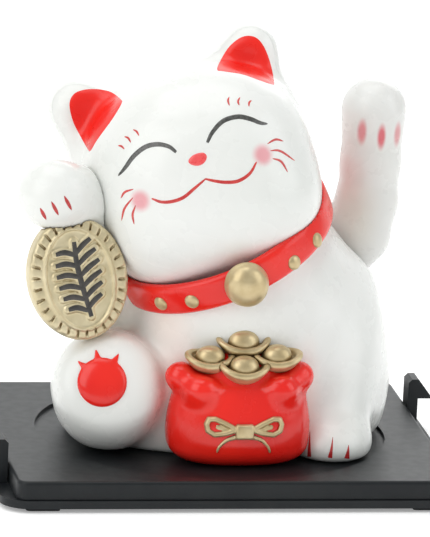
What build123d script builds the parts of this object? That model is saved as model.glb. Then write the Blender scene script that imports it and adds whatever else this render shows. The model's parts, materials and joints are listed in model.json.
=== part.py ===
from build123d import *
import math
import os

# A beckoning cat figurine with one waving arm, standing on a low black display base.
# Row frame: millimetres, +Z up, the cat faces -Y, and +X is the waving arm's side.
# The origin is the centre of the base, on the plane its feet rest on.
# Each physical piece is one node, written to parts/NODE.step.

# ---------------------------------------------------------------- driving dimensions

WALL = 1.8          # moulded body and head shells
ARM_WALL = 1.3      # moulded waving arm
GAP = 0.15          # gap between glued pieces
HEAD_GAP = 0.4      # gap in the head's seat
RUNNING = 0.05      # radial clearance of the turning pin
SEAT = 0.1          # clearance of the collar in its groove
SINK = 1.0          # how far joined forms run into each other
FAR = 80.0          # reach of the cutting blocks, past every form they cut

# Base
BASE_W, BASE_D = 120.0, 100.0      # platform, side to side and front to back
FLANGE_W, FLANGE_D = 128.0, 101.6  # tray flange under the platform
FLANGE_R, PLATFORM_R = 8.0, 3.0
FOOT_H = 1.2
FOOT_AT, FOOT_W, FOOT_D, FOOT_R = (52.6, 45.4), 9.2, 6.0, 1.0
RIM_W, RIM_D, RIM_T = 110.0, 90.0, 1.6   # thin rim that runs between the feet
FLANGE_TOP = 3.4
TRAY_T, WELL_W, WELL_D = 1.6, 108.0, 88.0
PLATFORM_TOP, PLATFORM_EDGE_R = 8.5, 1.0
RECESS_R, RECESS_DEPTH, RECESS_WALL = 48.0, 1.0, 1.4
FLOOR = PLATFORM_TOP - RECESS_DEPTH
DECK_T, DECK_WALL, DECK_INNER_R = 2.0, 2.0, 1.5
BOX_CLEAR, DECK_CLEAR = 0.2, 0.3         # round the battery box, in the tray and in the platform
TRAY_POST_R, DECK_POST_R, DECK_SKIN = 4.2, 3.0, 0.8
BOARD_RIB_REAR, BOARD_RIB_FRONT = 2.5, 1.5
HOOK_Y, HOOK_WIDTH, HOOK_T, HOOK_OFFSET = 30.0, 7.0, 2.8, 0.5
HOOK_TOP, HOOK_BARB, HOOK_BARB_H = 15.6, 3.6, 5.5
HOOK_BEVEL, HOOK_LIP = 1.0, 0.8

# Cat body: elliptical sections from the floor up, as centre, normal, half width, half depth.
# The last section is the shoulder on which the collar sits; the neck stub rises from it
TORSO_SECTIONS = [
    ((4.0, 6.0, FLOOR), (0.0, 0.0, 1.0), 42.5, 29.0),
    ((4.0, 6.0, 16.0), (0.0, 0.0, 1.0), 45.5, 31.0),
    ((4.0, 6.0, 28.0), (-0.02, 0.0, 1.0), 45.2, 31.3),
    ((4.0, 4.6, 44.0), (-0.14, -0.05, 1.0), 40.5, 30.8),
]
SHOULDER_W, SHOULDER_D = 32.4, 31.4
STUB_DROP, STUB_H = 1.5, 18.0
PARTING_Y = 5.6     # front and rear body shells meet on this plane

# Head: a rounded form in its own turned, lifted and tilted frame
HEAD_AT = (-6.0, -3.0, 80.7)
HEAD_TURN, HEAD_LIFT, HEAD_TILT = -10.2, 14.5, 19.5
HEAD_W, HEAD_D, HEAD_H = 31.2, 27.0, 28.0   # half sizes
EAR_ROOT, EAR_ROOT_R = (18.6, 13.5), 11.4   # out and up from the head's centre
EAR_TIP, EAR_TIP_R = (24.2, 29.8), 5.2
EAR_BACK, EAR_FLATNESS = 2.0, 0.45

# Collar ring
COLLAR_AT, COLLAR_AXIS = (1.4, 1.7, 61.8), (-0.3334, -0.1726, 0.9264)
COLLAR_R, COLLAR_T, COLLAR_H, COLLAR_EDGE_R = 31.4, 3.4, 9.0, 1.2
STUD_R, STUD_RISE, STUD_SINK = 2.0, 0.9, 0.2
STUD_ANGLES = (-46.0, -27.0, 27.0, 46.0, 150.0, 210.0)  # degrees round the ring from its front
BELL_W, BELL_H, BELL_T = 5.6, 6.6, 4.6
BELL_ANGLE, BELL_OUT, BELL_DROP = 4.0, 1.2, 0.6

# Limbs moulded to the body, each as its two ends and their radii, and the two round paws
RAISED_ARM = ((-30.0, 6.0, 46.0), (-45.5, -5.0, 70.0), 12.0, 8.6)
RAISED_PAW_AT, RAISED_PAW_R = (-48.0, -15.0, 78.9), 9.8
HIND_LEG = ((-27.0, 2.0, 22.0), (-31.6, -16.0, 24.6), 16.0, 16.0)
FRONT_LEG = ((34.0, -3.0, 38.0), (31.5, -17.0, 15.0), 10.5, 9.6)
FRONT_PAW_AT, FRONT_PAW_SIZE = (30.2, -19.6, 12.2), (10.8, 11.2, 7.4)
TAIL = ((-2.0, 33.0, 16.0), (8.0, 38.5, 22.0), 5.4, 5.0)

# Coin and sole
COIN_AT, COIN_W, COIN_H, COIN_T = (-40.6, -17.0, 57.3), 12.7, 18.4, 6.0
COIN_LEAN, COIN_TURN = -8.0, 8.0
COIN_RIM, COIN_LINE, COIN_RAISE = 3.6, 0.7, 0.7
STEM_W, STEM_H = 1.1, 21.0
LEAF_ROWS, LEAF_TOP, LEAF_PITCH = 5, 8.0, 4.0
LEAF_OUT, LEAF_LEAN, LEAF_LENGTH, LEAF_WIDTH = 2.6, 24.0, 2.5, 0.7
SOLE_AT, SOLE_NORMAL = (-34.4, -27.6, 28.2), (-0.12, -0.94, 0.30)
PAD_AT, PAD_R, PAD_BULGE = (-35.8, -27.0, 29.2), 6.7, 1.6

# Money bag, ingots and bow
BAG_AT = (2.6, -24.5)
BAG_FORMS = [
    (17.5, (18.6, 12.6, 17.0)),     # belly, as the height of its centre and its half sizes
    (27.0, (17.8, 10.8, 7.5)),      # mouth
    (31.0, (14.0, 8.6, 6.0)),       # heap under the ingots
]
BAG_LOBES = [(-13.6, -29.5, 30.6), (-6.0, -34.0, 30.2), (12.0, -34.0, 30.2), (19.0, -29.5, 30.6)]
BAG_LOBE_R = 4.2
INGOT_PLACES = [(-7.4, -27.5, 35.2), (14.0, -27.5, 35.6), (3.2, -30.6, 33.8), (3.6, -24.0, 39.6)]
INGOT_W, INGOT_D, INGOT_H = 6.4, 4.8, 3.2
INGOT_RIM, HOLLOW_UP, HOLLOW_H = 0.9, 2.9, 2.4
DOME_UP, DOME_SIZE = 1.2, (3.6, 3.2, 3.6)
BOW_AT, BOW_KNOT = (3.0, -36.9, 19.0), (5.4, 3.2, 3.4)
LOOP_AT, LOOP_TILT, LOOP_SIZE = (6.2, 0.4, 1.6), 16.0, (4.6, 1.6, 2.3)     # on each side of the knot
RIBBON_AT, RIBBON_TILT, RIBBON_SIZE = (4.4, 0.5, -3.0), 46.0, (3.6, 1.4, 1.0)

# Waving arm and its pivot. Everything here turns about a line along X
PIVOT_Y, PIVOT_Z = 18.0, 54.0
SWING = 18.0
HUB_R, HUB_LEFT = 8.0, 28.0
ARM_PATH = [(24.0, 0.0), (38.5, 0.0), (43.2, 12.0), (44.2, 26.0)]   # out and up, from the pivot line
WRIST, ARM_TIP, TIP_SWELL = (44.2, 26.0), (44.5, 40.2), 0.9
ARM_OPENING_R, OPENING_FROM, PASSAGE = 9.6, 26.0, ((30.0, 0.0, 0.0), (43.0, 0.0, 16.0))
PIN_R, PIN_LEFT, PIN_RIGHT = 1.0, 2.5, 35.0
POST_T, LEFT_POST_X, RIGHT_POST_X = 3.0, 3.0, 20.0
POST_FRONT, POST_BACK, POST_TOP = 14.0, 26.5, 57.0
BRIDGE_T, BRIDGE_Z0, BRIDGE_Z1 = 2.0, 44.0, 52.0
FRAME_FOOT, FRAME_FOOT_H, FRAME_SCREW_OUT = 8.0, 2.0, 4.5
LEVER_X, MAGNET_R, MAGNET_T, MAGNET_Z = 13.0, 4.5, 3.0, 22.5
LEVER_HUB_R, LEVER_PLAY, LEVER_T, LEVER_W = 2.8, 0.5, 3.0, 4.0
CUP_WALL, CUP_TOP = 1.0, 1.2
WEIGHT_Z, WEIGHT_R, WEIGHT_LENGTH = 33.5, 3.4, 11.0
SEAT_W, SEAT_D, SEAT_Z0, SEAT_Z1 = 10.0, 8.8, 29.0, 38.0
PLUG_X0, PLUG_X1, PLUG_R, PLUG_FLANGE_R, PLUG_FLANGE_T = 24.0, 34.0, 3.2, 5.6, 1.85
PLUG_FIT = 0.02

# Battery box: one AA cell lying along X
CELL_R, CELL_LENGTH, CELL_NUB_R, CELL_NUB, CELL_EDGE_R = 7.15, 49.0, 2.7, 1.5, 0.6
BOX_X0, BOX_X1, BOX_Y0, BOX_Y1, BOX_TOP, BOX_WALL = -24.0, 32.0, -9.7, 7.7, 18.6, 1.2
CELL_Y, CELL_Z, CELL_PLAY = -1.0, 10.0, 0.5
BOX_ROOF = 1.0
PLATE_T, PLATE_W, PLATE_Z0, PLATE_Z1 = 0.4, 10.0, 6.0, 15.9
TAB_W, TAB_OUT, TAB_SLOT_W, TAB_SLOT_H = 2.8, 2.6, 3.2, 0.6
SPRING_R, SPRING_WIRE_R, SPRING_LENGTH, SPRING_TURNS, SPRING_OFFSET = 3.4, 0.24, 1.1, 2, 0.75
DOOR_X0, DOOR_X1, DOOR_Y0, DOOR_Y1, DOOR_T = -22.4, 30.4, -9.0, 7.0, 1.4
DOOR_Z = 1.4
DOOR_PIN_R, DOOR_PIN_L, DOOR_BARREL_R = 0.7, 2.0, 0.9
DOOR_HINGE_Y, DOOR_HINGE_Z = DOOR_Y0 + DOOR_BARREL_R, DOOR_Z + DOOR_BARREL_R
GRIP_COUNT, GRIP_PITCH, GRIP_W, GRIP_DEPTH = 3, 3.0, 1.2, 0.4
GRIP_FROM, GRIP_TO = 6.0, 1.5

# Board, coil and switch
BOARD = (6.7, 19.3, 8.5, 29.5, 9.0, 10.2)   # x0, x1, y0, y1, z0, z1
COIL_AT, COIL_R, COIL_BORE, COIL_TOP = (13.0, PIVOT_Y), 6.3, 2.2, 19.4
FLANGE_OF_COIL, WINDING_INSET = 0.8, 0.3
CHIP = (8.4, 13.4, 25.2, 28.4, 0.3, 1.8)   # its package, with z above the board
CHIP_LEGS, LEG_X, LEG_PITCH, LEG_W, LEG_H, LEG_OUT = 4, 9.0, 1.27, 0.4, 0.5, 0.6
CAPACITOR_AT, CAPACITOR_R, CAPACITOR_H, CAPACITOR_EDGE_R = (17.2, 27.0), 1.9, 5.5, 0.4
SWITCH_AT, SWITCH_TRAVEL = (-38.0, -22.0), 3.0
SWITCH_W, SWITCH_D, SWITCH_TOP = 11.0, 6.4, 5.4
SWITCH_WELL_W, SWITCH_WELL_D, SWITCH_WELL_TOP = 7.2, 3.0, 4.4
SWITCH_SLOT_W, SWITCH_SLOT_D = 8.4, 3.8
KNOB_W, KNOB_D, KNOB_Z0, KNOB_Z1 = 3.6, 2.6, 0.7, 4.2
KNOB_GROOVE, KNOB_GROOVE_DEPTH = 0.4, 0.3

# Wires from the contacts to the board, as points along each
POSITIVE_LEAD = [(33.8, -0.4, 16.7), (34.2, 3.5, 16.7), (33.0, 12.0, 15.2), (29.0, 23.5, 13.5),
                 (19.0, 28.6, 10.85)]
NEGATIVE_LEAD = [(-25.8, -0.4, 16.7), (-26.0, 3.5, 16.7), (-22.0, 12.0, 15.2), (-9.0, 22.5, 13.5),
                 (6.9, 28.6, 10.85)]
LEAD_R = 0.55

SCREW_HEAD_R, SCREW_HEAD_H, SCREW_R, SCREW_CLEAR = 2.2, 1.3, 1.0, 0.2
TRAY_SCREWS = [(-50.0, -38.0), (50.0, -38.0), (-50.0, 38.0), (50.0, 38.0)]
BODY_BOSSES = [(-31.0, 11.0), (38.0, 11.0), (6.0, -14.5)]
BOSS_R, BOSS_TOP, BOSS_CAP = 3.2, 15.0, 1.5
WEB_T, WEB_REAR, WEB_FRONT = 1.8, 30.0, -20.0
TRAY_SCREW_L, BODY_SCREW_L, FRAME_SCREW_L = 6.0, 8.0, 4.2
SLOT_L, SLOT_W, SLOT_D = 3.2, 0.6, 0.9


# ---------------------------------------------------------------- small helpers

def box(x0, x1, y0, y1, z0, z1):
    """A block given by its limits."""
    return Pos((x0 + x1) / 2, (y0 + y1) / 2, (z0 + z1) / 2) * Box(x1 - x0, y1 - y0, z1 - z0)


def rod(x, y, z0, z1, r):
    """An upright cylinder from z0 to z1."""
    return Pos(x, y, (z0 + z1) / 2) * Cylinder(r, z1 - z0)


def rod_x(x0, x1, y, z, r):
    """A cylinder along X from x0 to x1."""
    return Pos((x0 + x1) / 2, y, z) * Rot(0, 90, 0) * Cylinder(r, x1 - x0)


def ellipsoid(at, half, turned=None):
    """A scaled sphere at a point, in the row's axes or in a plane's axes."""
    shape = scale(Sphere(1), by=half)
    place = Pos(*at) if turned is None else Location(turned) * Pos(*at)
    return place * shape


def biggest(shape):
    """The largest solid of a boolean result."""
    return max(shape.solids(), key=lambda solid: solid.volume)


def limb(p0, p1, r0, r1):
    """A tapered rod with round ends, turned from one closed outline."""
    a, b = Vector(*p0), Vector(*p1)
    length = (b - a).length
    lean = math.asin((r0 - r1) / length)
    low = (r0 * math.cos(lean), r0 * math.sin(lean))
    high = (r1 * math.cos(lean), length + r1 * math.sin(lean))
    mid0 = (r0 * math.cos((lean - math.pi / 2) / 2), r0 * math.sin((lean - math.pi / 2) / 2))
    half = (lean + math.pi / 2) / 2
    mid1 = (r1 * math.cos(half), length + r1 * math.sin(half))
    outline = [
        ThreePointArc((0, -r0), mid0, low),
        Line(low, high),
        ThreePointArc(high, mid1, (0, length + r1)),
        Line((0, length + r1), (0, -r0)),
    ]
    face = make_face(Wire(outline))
    upright = Rot(90, 0, 0) * revolve(face, axis=Axis.Y, revolution_arc=360)
    return Location(Plane(origin=a, z_dir=b - a)) * upright


def inset_limb(shape, inset):
    """A limb given as its two ends and two radii, made smaller all round by inset."""
    start, end, r0, r1 = shape
    return limb(start, end, r0 - inset, r1 - inset)


def rounded_plate(width, depth, corner, z0, z1):
    """A plate centred on the origin with rounded upright corners."""
    plate = Pos(0, 0, (z0 + z1) / 2) * Box(width, depth, z1 - z0)
    return fillet(plate.edges().filter_by(Axis.Z), corner)


def only_solids(shape):
    """The solids of a boolean result as one compound, without slivers."""
    kept = [s for s in shape.solids() if s.volume > 0.5]
    return kept[0] if len(kept) == 1 else Compound(children=kept)


def write(name, shape):
    """Writes one node."""
    export_step(only_solids(shape), f"parts/{name}.step")


# ---------------------------------------------------------------- frames of the head and the collar

def head_axes():
    """The head's right and up directions, from its turn, lift and tilt."""
    turn, lift, tilt = (math.radians(v) for v in (HEAD_TURN, HEAD_LIFT, HEAD_TILT))
    right = Vector(math.cos(turn), math.sin(turn), 0)
    face = Vector(math.sin(turn) * math.cos(lift), -math.cos(turn) * math.cos(lift), math.sin(lift))
    up = face.cross(right)
    u = right * math.cos(tilt) + up * math.sin(tilt)
    v = up * math.cos(tilt) - right * math.sin(tilt)
    return u, v


HEAD_U, HEAD_V = head_axes()
HEAD_PLANE = Plane(origin=HEAD_AT, x_dir=HEAD_U, z_dir=HEAD_V)


def collar_plane():
    """The ring's own plane: its Z is the ring's axis and its -Y points to the cat's front."""
    axis = Vector(*COLLAR_AXIS).normalized()
    side = HEAD_U - axis * HEAD_U.dot(axis)
    return Plane(origin=COLLAR_AT, x_dir=side, z_dir=axis)


COLLAR_PLANE = collar_plane()


# ---------------------------------------------------------------- the cat's outer forms

def torso(inset=0.0):
    """The pear-shaped trunk up to the shoulder, and the neck stub. The inset form is the cavity."""
    axis = COLLAR_PLANE.z_dir
    shoulder = COLLAR_PLANE.origin - axis * (COLLAR_H / 2 + SEAT + inset)
    sections = TORSO_SECTIONS + [(tuple(shoulder), tuple(axis), SHOULDER_W, SHOULDER_D)]
    faces = []
    for centre, normal, half_w, half_d in sections:
        n = Vector(*normal).normalized()
        side = Vector(1, 0, 0) - n * n.X
        plane = Plane(origin=centre, x_dir=side, z_dir=n)
        faces.append(plane * Ellipse(half_w - inset, half_d - inset))
    stub_r = COLLAR_R - COLLAR_T - SEAT - inset
    stub = Location(COLLAR_PLANE) * Pos(0, 0, -STUB_DROP) * Cylinder(stub_r, STUB_H)
    return loft(faces) + stub


def head_form(inset=0.0):
    """The head without its ears."""
    return ellipsoid((0, 0, 0), (HEAD_W - inset, HEAD_D - inset, HEAD_H - inset), HEAD_PLANE)


def ear_form(side):
    """One ear: a flattened tapered rod leaning outwards. side is -1 or 1."""
    root, tip = (side * EAR_ROOT[0], 0, EAR_ROOT[1]), (side * EAR_TIP[0], 0, EAR_TIP[1])
    ear = scale(limb(root, tip, EAR_ROOT_R, EAR_TIP_R), by=(1, EAR_FLATNESS, 1))
    return Location(HEAD_PLANE) * Pos(0, EAR_BACK, 0) * ear


def raised_arm(inset=0.0):
    """The arm that holds the coin: shoulder to wrist, then the round paw."""
    return inset_limb(RAISED_ARM, inset) + Pos(*RAISED_PAW_AT) * Sphere(RAISED_PAW_R - inset)


def hind_leg(inset=0.0):
    """The raised hind leg with its flat sole."""
    normal = Vector(*SOLE_NORMAL).normalized()
    sole = Plane(origin=Vector(*SOLE_AT) - normal * inset, z_dir=normal)
    beyond = Location(sole) * Pos(0, 0, FAR / 2) * Box(FAR, FAR, FAR)
    return inset_limb(HIND_LEG, inset) - beyond


def front_leg(inset=0.0):
    """The standing front leg and its paw."""
    half = tuple(size - inset for size in FRONT_PAW_SIZE)
    return inset_limb(FRONT_LEG, inset) + ellipsoid(FRONT_PAW_AT, half)


def tail(inset=0.0):
    """The short tail at the back."""
    return inset_limb(TAIL, inset)


def cat_body(inset=0.0):
    """The trunk with every limb moulded to it, cut off flat at the floor."""
    form = torso(inset) + raised_arm(inset) + hind_leg(inset) + front_leg(inset) + tail(inset)
    return form - box(-FAR, FAR, -FAR, FAR, -FAR, FLOOR)


# ---------------------------------------------------------------- shells

def head_shells():
    """Front and rear head shells, glued on the plane through the ears."""
    solid = head_form()
    for side in (-1, 1):
        solid += ear_form(side)
    hollow = solid - head_form(WALL)
    front_half = Location(HEAD_PLANE) * box(-FAR, FAR, -FAR, 0, -FAR, FAR)
    rear_half = Location(HEAD_PLANE) * box(-FAR, FAR, 0, FAR, -FAR, FAR)
    return hollow & front_half, hollow & rear_half


def arm_opening():
    """The opening in the side that the swinging arm passes through."""
    opening = rod_x(OPENING_FROM, FAR, PIVOT_Y, PIVOT_Z, ARM_OPENING_R)
    passage = limb(*PASSAGE, ARM_OPENING_R, ARM_OPENING_R)
    for angle in (-SWING, 0, SWING):
        opening += Pos(0, PIVOT_Y, PIVOT_Z) * Rot(angle, 0, 0) * passage
    return opening


def body_shells(outer):
    """Front and rear body shells with the collar groove, the neck seat, the arm opening and bosses."""
    groove_h = COLLAR_H + 3 * SEAT
    groove = Cylinder(COLLAR_R + SEAT, groove_h) - Cylinder(COLLAR_R - COLLAR_T - 2 * SEAT, groove_h)
    shell = outer - cat_body(WALL) - head_form(-HEAD_GAP)
    shell -= Location(COLLAR_PLANE) * groove
    shell = biggest(shell - arm_opening())
    for x, y in BODY_BOSSES:
        reach = WEB_REAR if y > PARTING_Y else WEB_FRONT
        web = box(x - WEB_T / 2, x + WEB_T / 2, *sorted((y, y + reach)), FLOOR, BOSS_TOP)
        shell += (rod(x, y, FLOOR, BOSS_TOP, BOSS_R) + web) & outer
        shell -= rod(x, y, FLOOR - SINK, BOSS_TOP - BOSS_CAP, SCREW_R)
    front_half = box(-FAR, FAR, -FAR, PARTING_Y, -FAR, 2 * FAR)
    rear_half = box(-FAR, FAR, PARTING_Y, FAR, -FAR, 2 * FAR)
    return biggest(shell & front_half), biggest(shell & rear_half)


# ---------------------------------------------------------------- trims on the cat

def collar_ring():
    """The collar band round the neck stub, cut away under the chin."""
    ring = Cylinder(COLLAR_R, COLLAR_H) - Cylinder(COLLAR_R - COLLAR_T, COLLAR_H)
    ring = fillet(ring.edges(), COLLAR_EDGE_R)
    return biggest(Location(COLLAR_PLANE) * ring - head_form(-HEAD_GAP))


def ring_point(angle, radius, height=0.0):
    """A place on the collar, angle degrees from its front towards +X, facing outwards."""
    a = math.radians(angle)
    at = COLLAR_PLANE.from_local_coords(Vector(radius * math.sin(a), -radius * math.cos(a), height))
    out = at - COLLAR_PLANE.from_local_coords(Vector(0, 0, height))
    return Plane(origin=at, z_dir=out, x_dir=COLLAR_PLANE.z_dir)


def collar_studs(collar, others):
    """Round studs pressed on the collar."""
    studs = []
    for angle in STUD_ANGLES:
        place = Location(ring_point(angle, COLLAR_R - STUD_SINK))
        stud = place * scale(Sphere(1), by=(STUD_R, STUD_R, STUD_RISE))
        stud = stud - collar - others
        studs += [s for s in stud.solids() if s.volume > 0.5]
    return Compound(children=studs)


def front_bell(collar, others):
    """The plain round bell hanging at the collar's front."""
    place = Location(ring_point(BELL_ANGLE, COLLAR_R + BELL_OUT, -BELL_DROP))
    bell = place * scale(Sphere(1), by=(BELL_H, BELL_W, BELL_T))
    return biggest(bell - collar - others)


def coin_plane(depth=0.0):
    """The coin's face plane, moved depth mm out of its front."""
    turned = Pos(*COIN_AT) * Rot(0, 0, COIN_TURN) * Rot(0, COIN_LEAN, 0)
    return turned * Pos(0, -depth, 0) * Rot(90, 0, 0)


def koban_coin(others):
    """The oval coin with a raised rim band, a raised oval line and a plain leaf sprig."""
    half_t = COIN_T / 2
    coin = coin_plane() * extrude(Ellipse(COIN_W, COIN_H), half_t, both=True)
    line_w, line_h = COIN_W - COIN_RIM, COIN_H - COIN_RIM
    line = Ellipse(line_w, line_h) - Ellipse(line_w - COIN_LINE, line_h - COIN_LINE)
    coin += coin_plane(half_t) * extrude(line, COIN_RAISE)
    coin += coin_plane(half_t) * extrude(leaf_sprig(), COIN_RAISE)
    return coin - others


def leaf_sprig():
    """A stem with paired slanting leaves."""
    sprig = Rectangle(STEM_W, STEM_H)
    leaf = Ellipse(LEAF_LENGTH, LEAF_WIDTH)
    for row in range(LEAF_ROWS):
        for side in (-1, 1):
            place = Pos(side * LEAF_OUT, LEAF_TOP - LEAF_PITCH * row)
            sprig += place * Rot(0, 0, side * LEAF_LEAN) * leaf
    return sprig


def sole_pad(leg):
    """The raised red pad on the sole."""
    plane = Plane(origin=PAD_AT, z_dir=Vector(*SOLE_NORMAL))
    return Location(plane) * scale(Sphere(1), by=(PAD_R, PAD_R, PAD_BULGE)) - leg


def money_bag(others):
    """The bag: an open-bottomed moulding that bulges low down, with a lobed mouth and a heaped top."""
    x, y = BAG_AT

    def form(inset):
        belly, mouth, heap = [
            ellipsoid((x, y, z), tuple(size - inset for size in half)) for z, half in BAG_FORMS
        ]
        return belly + mouth + heap

    lobes = [Pos(*at) * Sphere(BAG_LOBE_R) for at in BAG_LOBES]
    bag = form(0.0) - form(WALL) + lobes[0] + lobes[1] + lobes[2] + lobes[3]
    return biggest(bag - box(-FAR, FAR, -FAR, FAR, -FAR, FLOOR) - others)


def gold_ingots(others):
    """Four boat-shaped ingots heaped on the bag, each a dish with a round dome."""
    made, taken = [], others
    for x, y, z in INGOT_PLACES:
        dish = ellipsoid((x, y, z), (INGOT_W, INGOT_D, INGOT_H))
        dish -= ellipsoid((x, y, z + HOLLOW_UP), (INGOT_W - INGOT_RIM, INGOT_D - INGOT_RIM, HOLLOW_H))
        dome = ellipsoid((x, y, z + DOME_UP), DOME_SIZE)
        ingot = biggest(dish + dome - taken)
        made.append(ingot)
        taken = taken + ingot
    return Compound(children=made)


def bag_bow(others):
    """The bow on the bag: a knot, two loops and two tails."""
    x, y, z = BOW_AT
    bow = Pos(x, y, z) * Box(*BOW_KNOT)
    for (out, back, up), tilt, size in ((LOOP_AT, -LOOP_TILT, LOOP_SIZE), (RIBBON_AT, RIBBON_TILT, RIBBON_SIZE)):
        for side in (-1, 1):
            place = Pos(x + side * out, y + back, z + up) * Rot(0, side * tilt, 0)
            bow += place * scale(Sphere(1), by=size)
    return bow - others


# ---------------------------------------------------------------- base

def snap_hook(side, y):
    """One snap hook for a clear cover, rising from the flange and facing outwards."""
    inner = side * (BASE_W / 2 + HOOK_OFFSET)
    outer = inner + side * HOOK_T
    tip = outer + side * HOOK_BARB
    barb_low = HOOK_TOP - HOOK_BARB_H
    outline = [(inner, FLANGE_TOP - SINK), (inner, HOOK_TOP - HOOK_BEVEL), (inner + side * HOOK_BEVEL, HOOK_TOP),
               (outer, HOOK_TOP), (tip, barb_low + HOOK_LIP), (tip, barb_low), (outer, barb_low),
               (outer, FLANGE_TOP - SINK)]
    face = make_face(Polyline(*[(px, pz, 0) for px, pz in outline], close=True))
    solid = extrude(face, HOOK_WIDTH / 2, both=True)
    return Pos(0, y, 0) * Rot(90, 0, 0) * solid


def base_tray():
    """The lower tray: flange, feet and their rim, snap hooks, screw posts and the battery opening."""
    tray = rounded_plate(FLANGE_W, FLANGE_D, FLANGE_R, FOOT_H, FLANGE_TOP)
    tray -= box(-WELL_W / 2, WELL_W / 2, -WELL_D / 2, WELL_D / 2, FOOT_H + TRAY_T, FAR)
    rim = rounded_plate(RIM_W, RIM_D, FOOT_R + RIM_T, 0, FOOT_H)
    tray += rim - rounded_plate(RIM_W - 2 * RIM_T, RIM_D - 2 * RIM_T, FOOT_R, 0, FOOT_H)
    for sx in (-1, 1):
        for sy in (-1, 1):
            foot = Pos(sx * FOOT_AT[0], sy * FOOT_AT[1], FOOT_H / 2) * Box(FOOT_W, FOOT_D, FOOT_H)
            tray += fillet(foot.edges().filter_by(Axis.Z), FOOT_R)
            tray += snap_hook(sx, sy * HOOK_Y)
    for x, y in TRAY_SCREWS:
        tray += rod(x, y, FOOT_H, PLATFORM_TOP - DECK_T - GAP, TRAY_POST_R)
        tray -= rod(x, y, FOOT_H - SINK, PLATFORM_TOP, SCREW_R + SCREW_CLEAR)
        tray -= rod(x, y, FOOT_H - SINK, FOOT_H + SCREW_HEAD_H + SEAT, SCREW_HEAD_R + SCREW_CLEAR)
    for x, y in BODY_BOSSES:
        tray -= rod(x, y, FOOT_H - SINK, FLANGE_TOP, SCREW_HEAD_R + 2 * SCREW_CLEAR)
    tray -= box_opening(BOX_CLEAR)
    sx, sy = SWITCH_AT
    tray -= Pos(sx, sy, FOOT_H) * Box(SWITCH_SLOT_W, SWITCH_SLOT_D, FAR)
    return tray


def box_opening(clear):
    """The opening that the battery box passes through."""
    return box(BOX_X0 - clear, BOX_X1 + clear, BOX_Y0 - clear, BOX_Y1 + clear, 0, BOX_TOP)


def base_platform():
    """The upper platform with its round recess, a hollow underside and openings to the tray."""
    deck = rounded_plate(BASE_W, BASE_D, PLATFORM_R, FLANGE_TOP + GAP, PLATFORM_TOP)
    deck = fillet(deck.edges().group_by(Axis.Z)[-1], PLATFORM_EDGE_R)
    deck -= rounded_plate(BASE_W - 2 * DECK_WALL, BASE_D - 2 * DECK_WALL, DECK_INNER_R, 0, PLATFORM_TOP - DECK_T)
    deck += rod(0, 0, FLOOR - DECK_T, PLATFORM_TOP - DECK_T, RECESS_R + RECESS_WALL)
    deck -= rod(0, 0, FLOOR, PLATFORM_TOP + SINK, RECESS_R)
    deck -= box_opening(DECK_CLEAR)
    for x, y in TRAY_SCREWS:
        deck += rod(x, y, PLATFORM_TOP - DECK_T, PLATFORM_TOP - DECK_SKIN, DECK_POST_R)
        deck -= rod(x, y, 0, PLATFORM_TOP - DECK_SKIN - SCREW_CLEAR, SCREW_R)
    for x, y in BODY_BOSSES:
        deck -= rod(x, y, 0, FLOOR + SINK, SCREW_R + SCREW_CLEAR)
    for x, y in frame_screw_places():
        deck -= rod(x, y, 0, FLOOR + SINK, SCREW_R)
    x0, x1, y0, y1, z0, _ = BOARD
    deck += box(x0, x1, y1 - BOARD_RIB_REAR, y1, FLOOR, z0)
    deck += box(x0, x1, y0, y0 + BOARD_RIB_FRONT, FLOOR, z0)
    return deck


def screws(places, head_z, length, up=True):
    """Pan-head screws at (x, y) places. head_z is the head's outer face."""
    made = []
    for x, y in places:
        sign = 1 if up else -1
        head = rod(x, y, *sorted((head_z, head_z + sign * SCREW_HEAD_H)), SCREW_HEAD_R)
        slot = Pos(x, y, head_z) * (Box(SLOT_L, SLOT_W, SLOT_D) + Box(SLOT_W, SLOT_L, SLOT_D))
        shank = rod(x, y, *sorted((head_z, head_z + sign * length)), SCREW_R)
        made.append((head + shank - slot).solids()[0])
    return Compound(children=made)


# ---------------------------------------------------------------- battery side

def battery_box():
    """The open-bottomed box over the cell, with pin sockets for the door and slots for the contacts."""
    x0, x1, y0, y1 = BOX_X0, BOX_X1, BOX_Y0, BOX_Y1
    body = box(x0, x1, y0, y1, FOOT_H, BOX_TOP)
    door_top = DOOR_Z + DOOR_T
    door_x0, door_x1 = DOOR_X0 - BOX_CLEAR, DOOR_X1 + BOX_CLEAR
    body -= box(x0 + BOX_WALL, x1 - BOX_WALL, y0 + BOX_WALL, y1 - BOX_WALL, door_top, BOX_TOP - BOX_ROOF)
    body -= box(door_x0, door_x1, DOOR_Y0 - 2 * BOX_CLEAR, DOOR_Y1 + BOX_CLEAR, 0, door_top + SEAT)
    body -= rod_x(door_x0, door_x1, DOOR_HINGE_Y, DOOR_HINGE_Z, DOOR_BARREL_R + GAP)
    for x in (DOOR_X0 - DOOR_PIN_L, DOOR_X1):
        body -= rod_x(x - SEAT, x + DOOR_PIN_L + SEAT, DOOR_HINGE_Y, DOOR_HINGE_Z, DOOR_PIN_R + RUNNING)
    for x in (x0, x1):
        body -= Pos(x, CELL_Y, PLATE_Z1 - PLATE_T / 2) * Box(2 * BOX_WALL + TAB_SLOT_H, TAB_SLOT_W, TAB_SLOT_H)
    return body


def battery_cell():
    """One AA cell lying along X with its nub towards +X."""
    x1 = BOX_X1 - BOX_WALL - CELL_PLAY
    x0 = x1 - CELL_NUB - CELL_LENGTH
    can = fillet(rod_x(x0, x1 - CELL_NUB, CELL_Y, CELL_Z, CELL_R).edges(), CELL_EDGE_R)
    return can + rod_x(x1 - CELL_NUB - SINK, x1, CELL_Y, CELL_Z, CELL_NUB_R)


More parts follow.
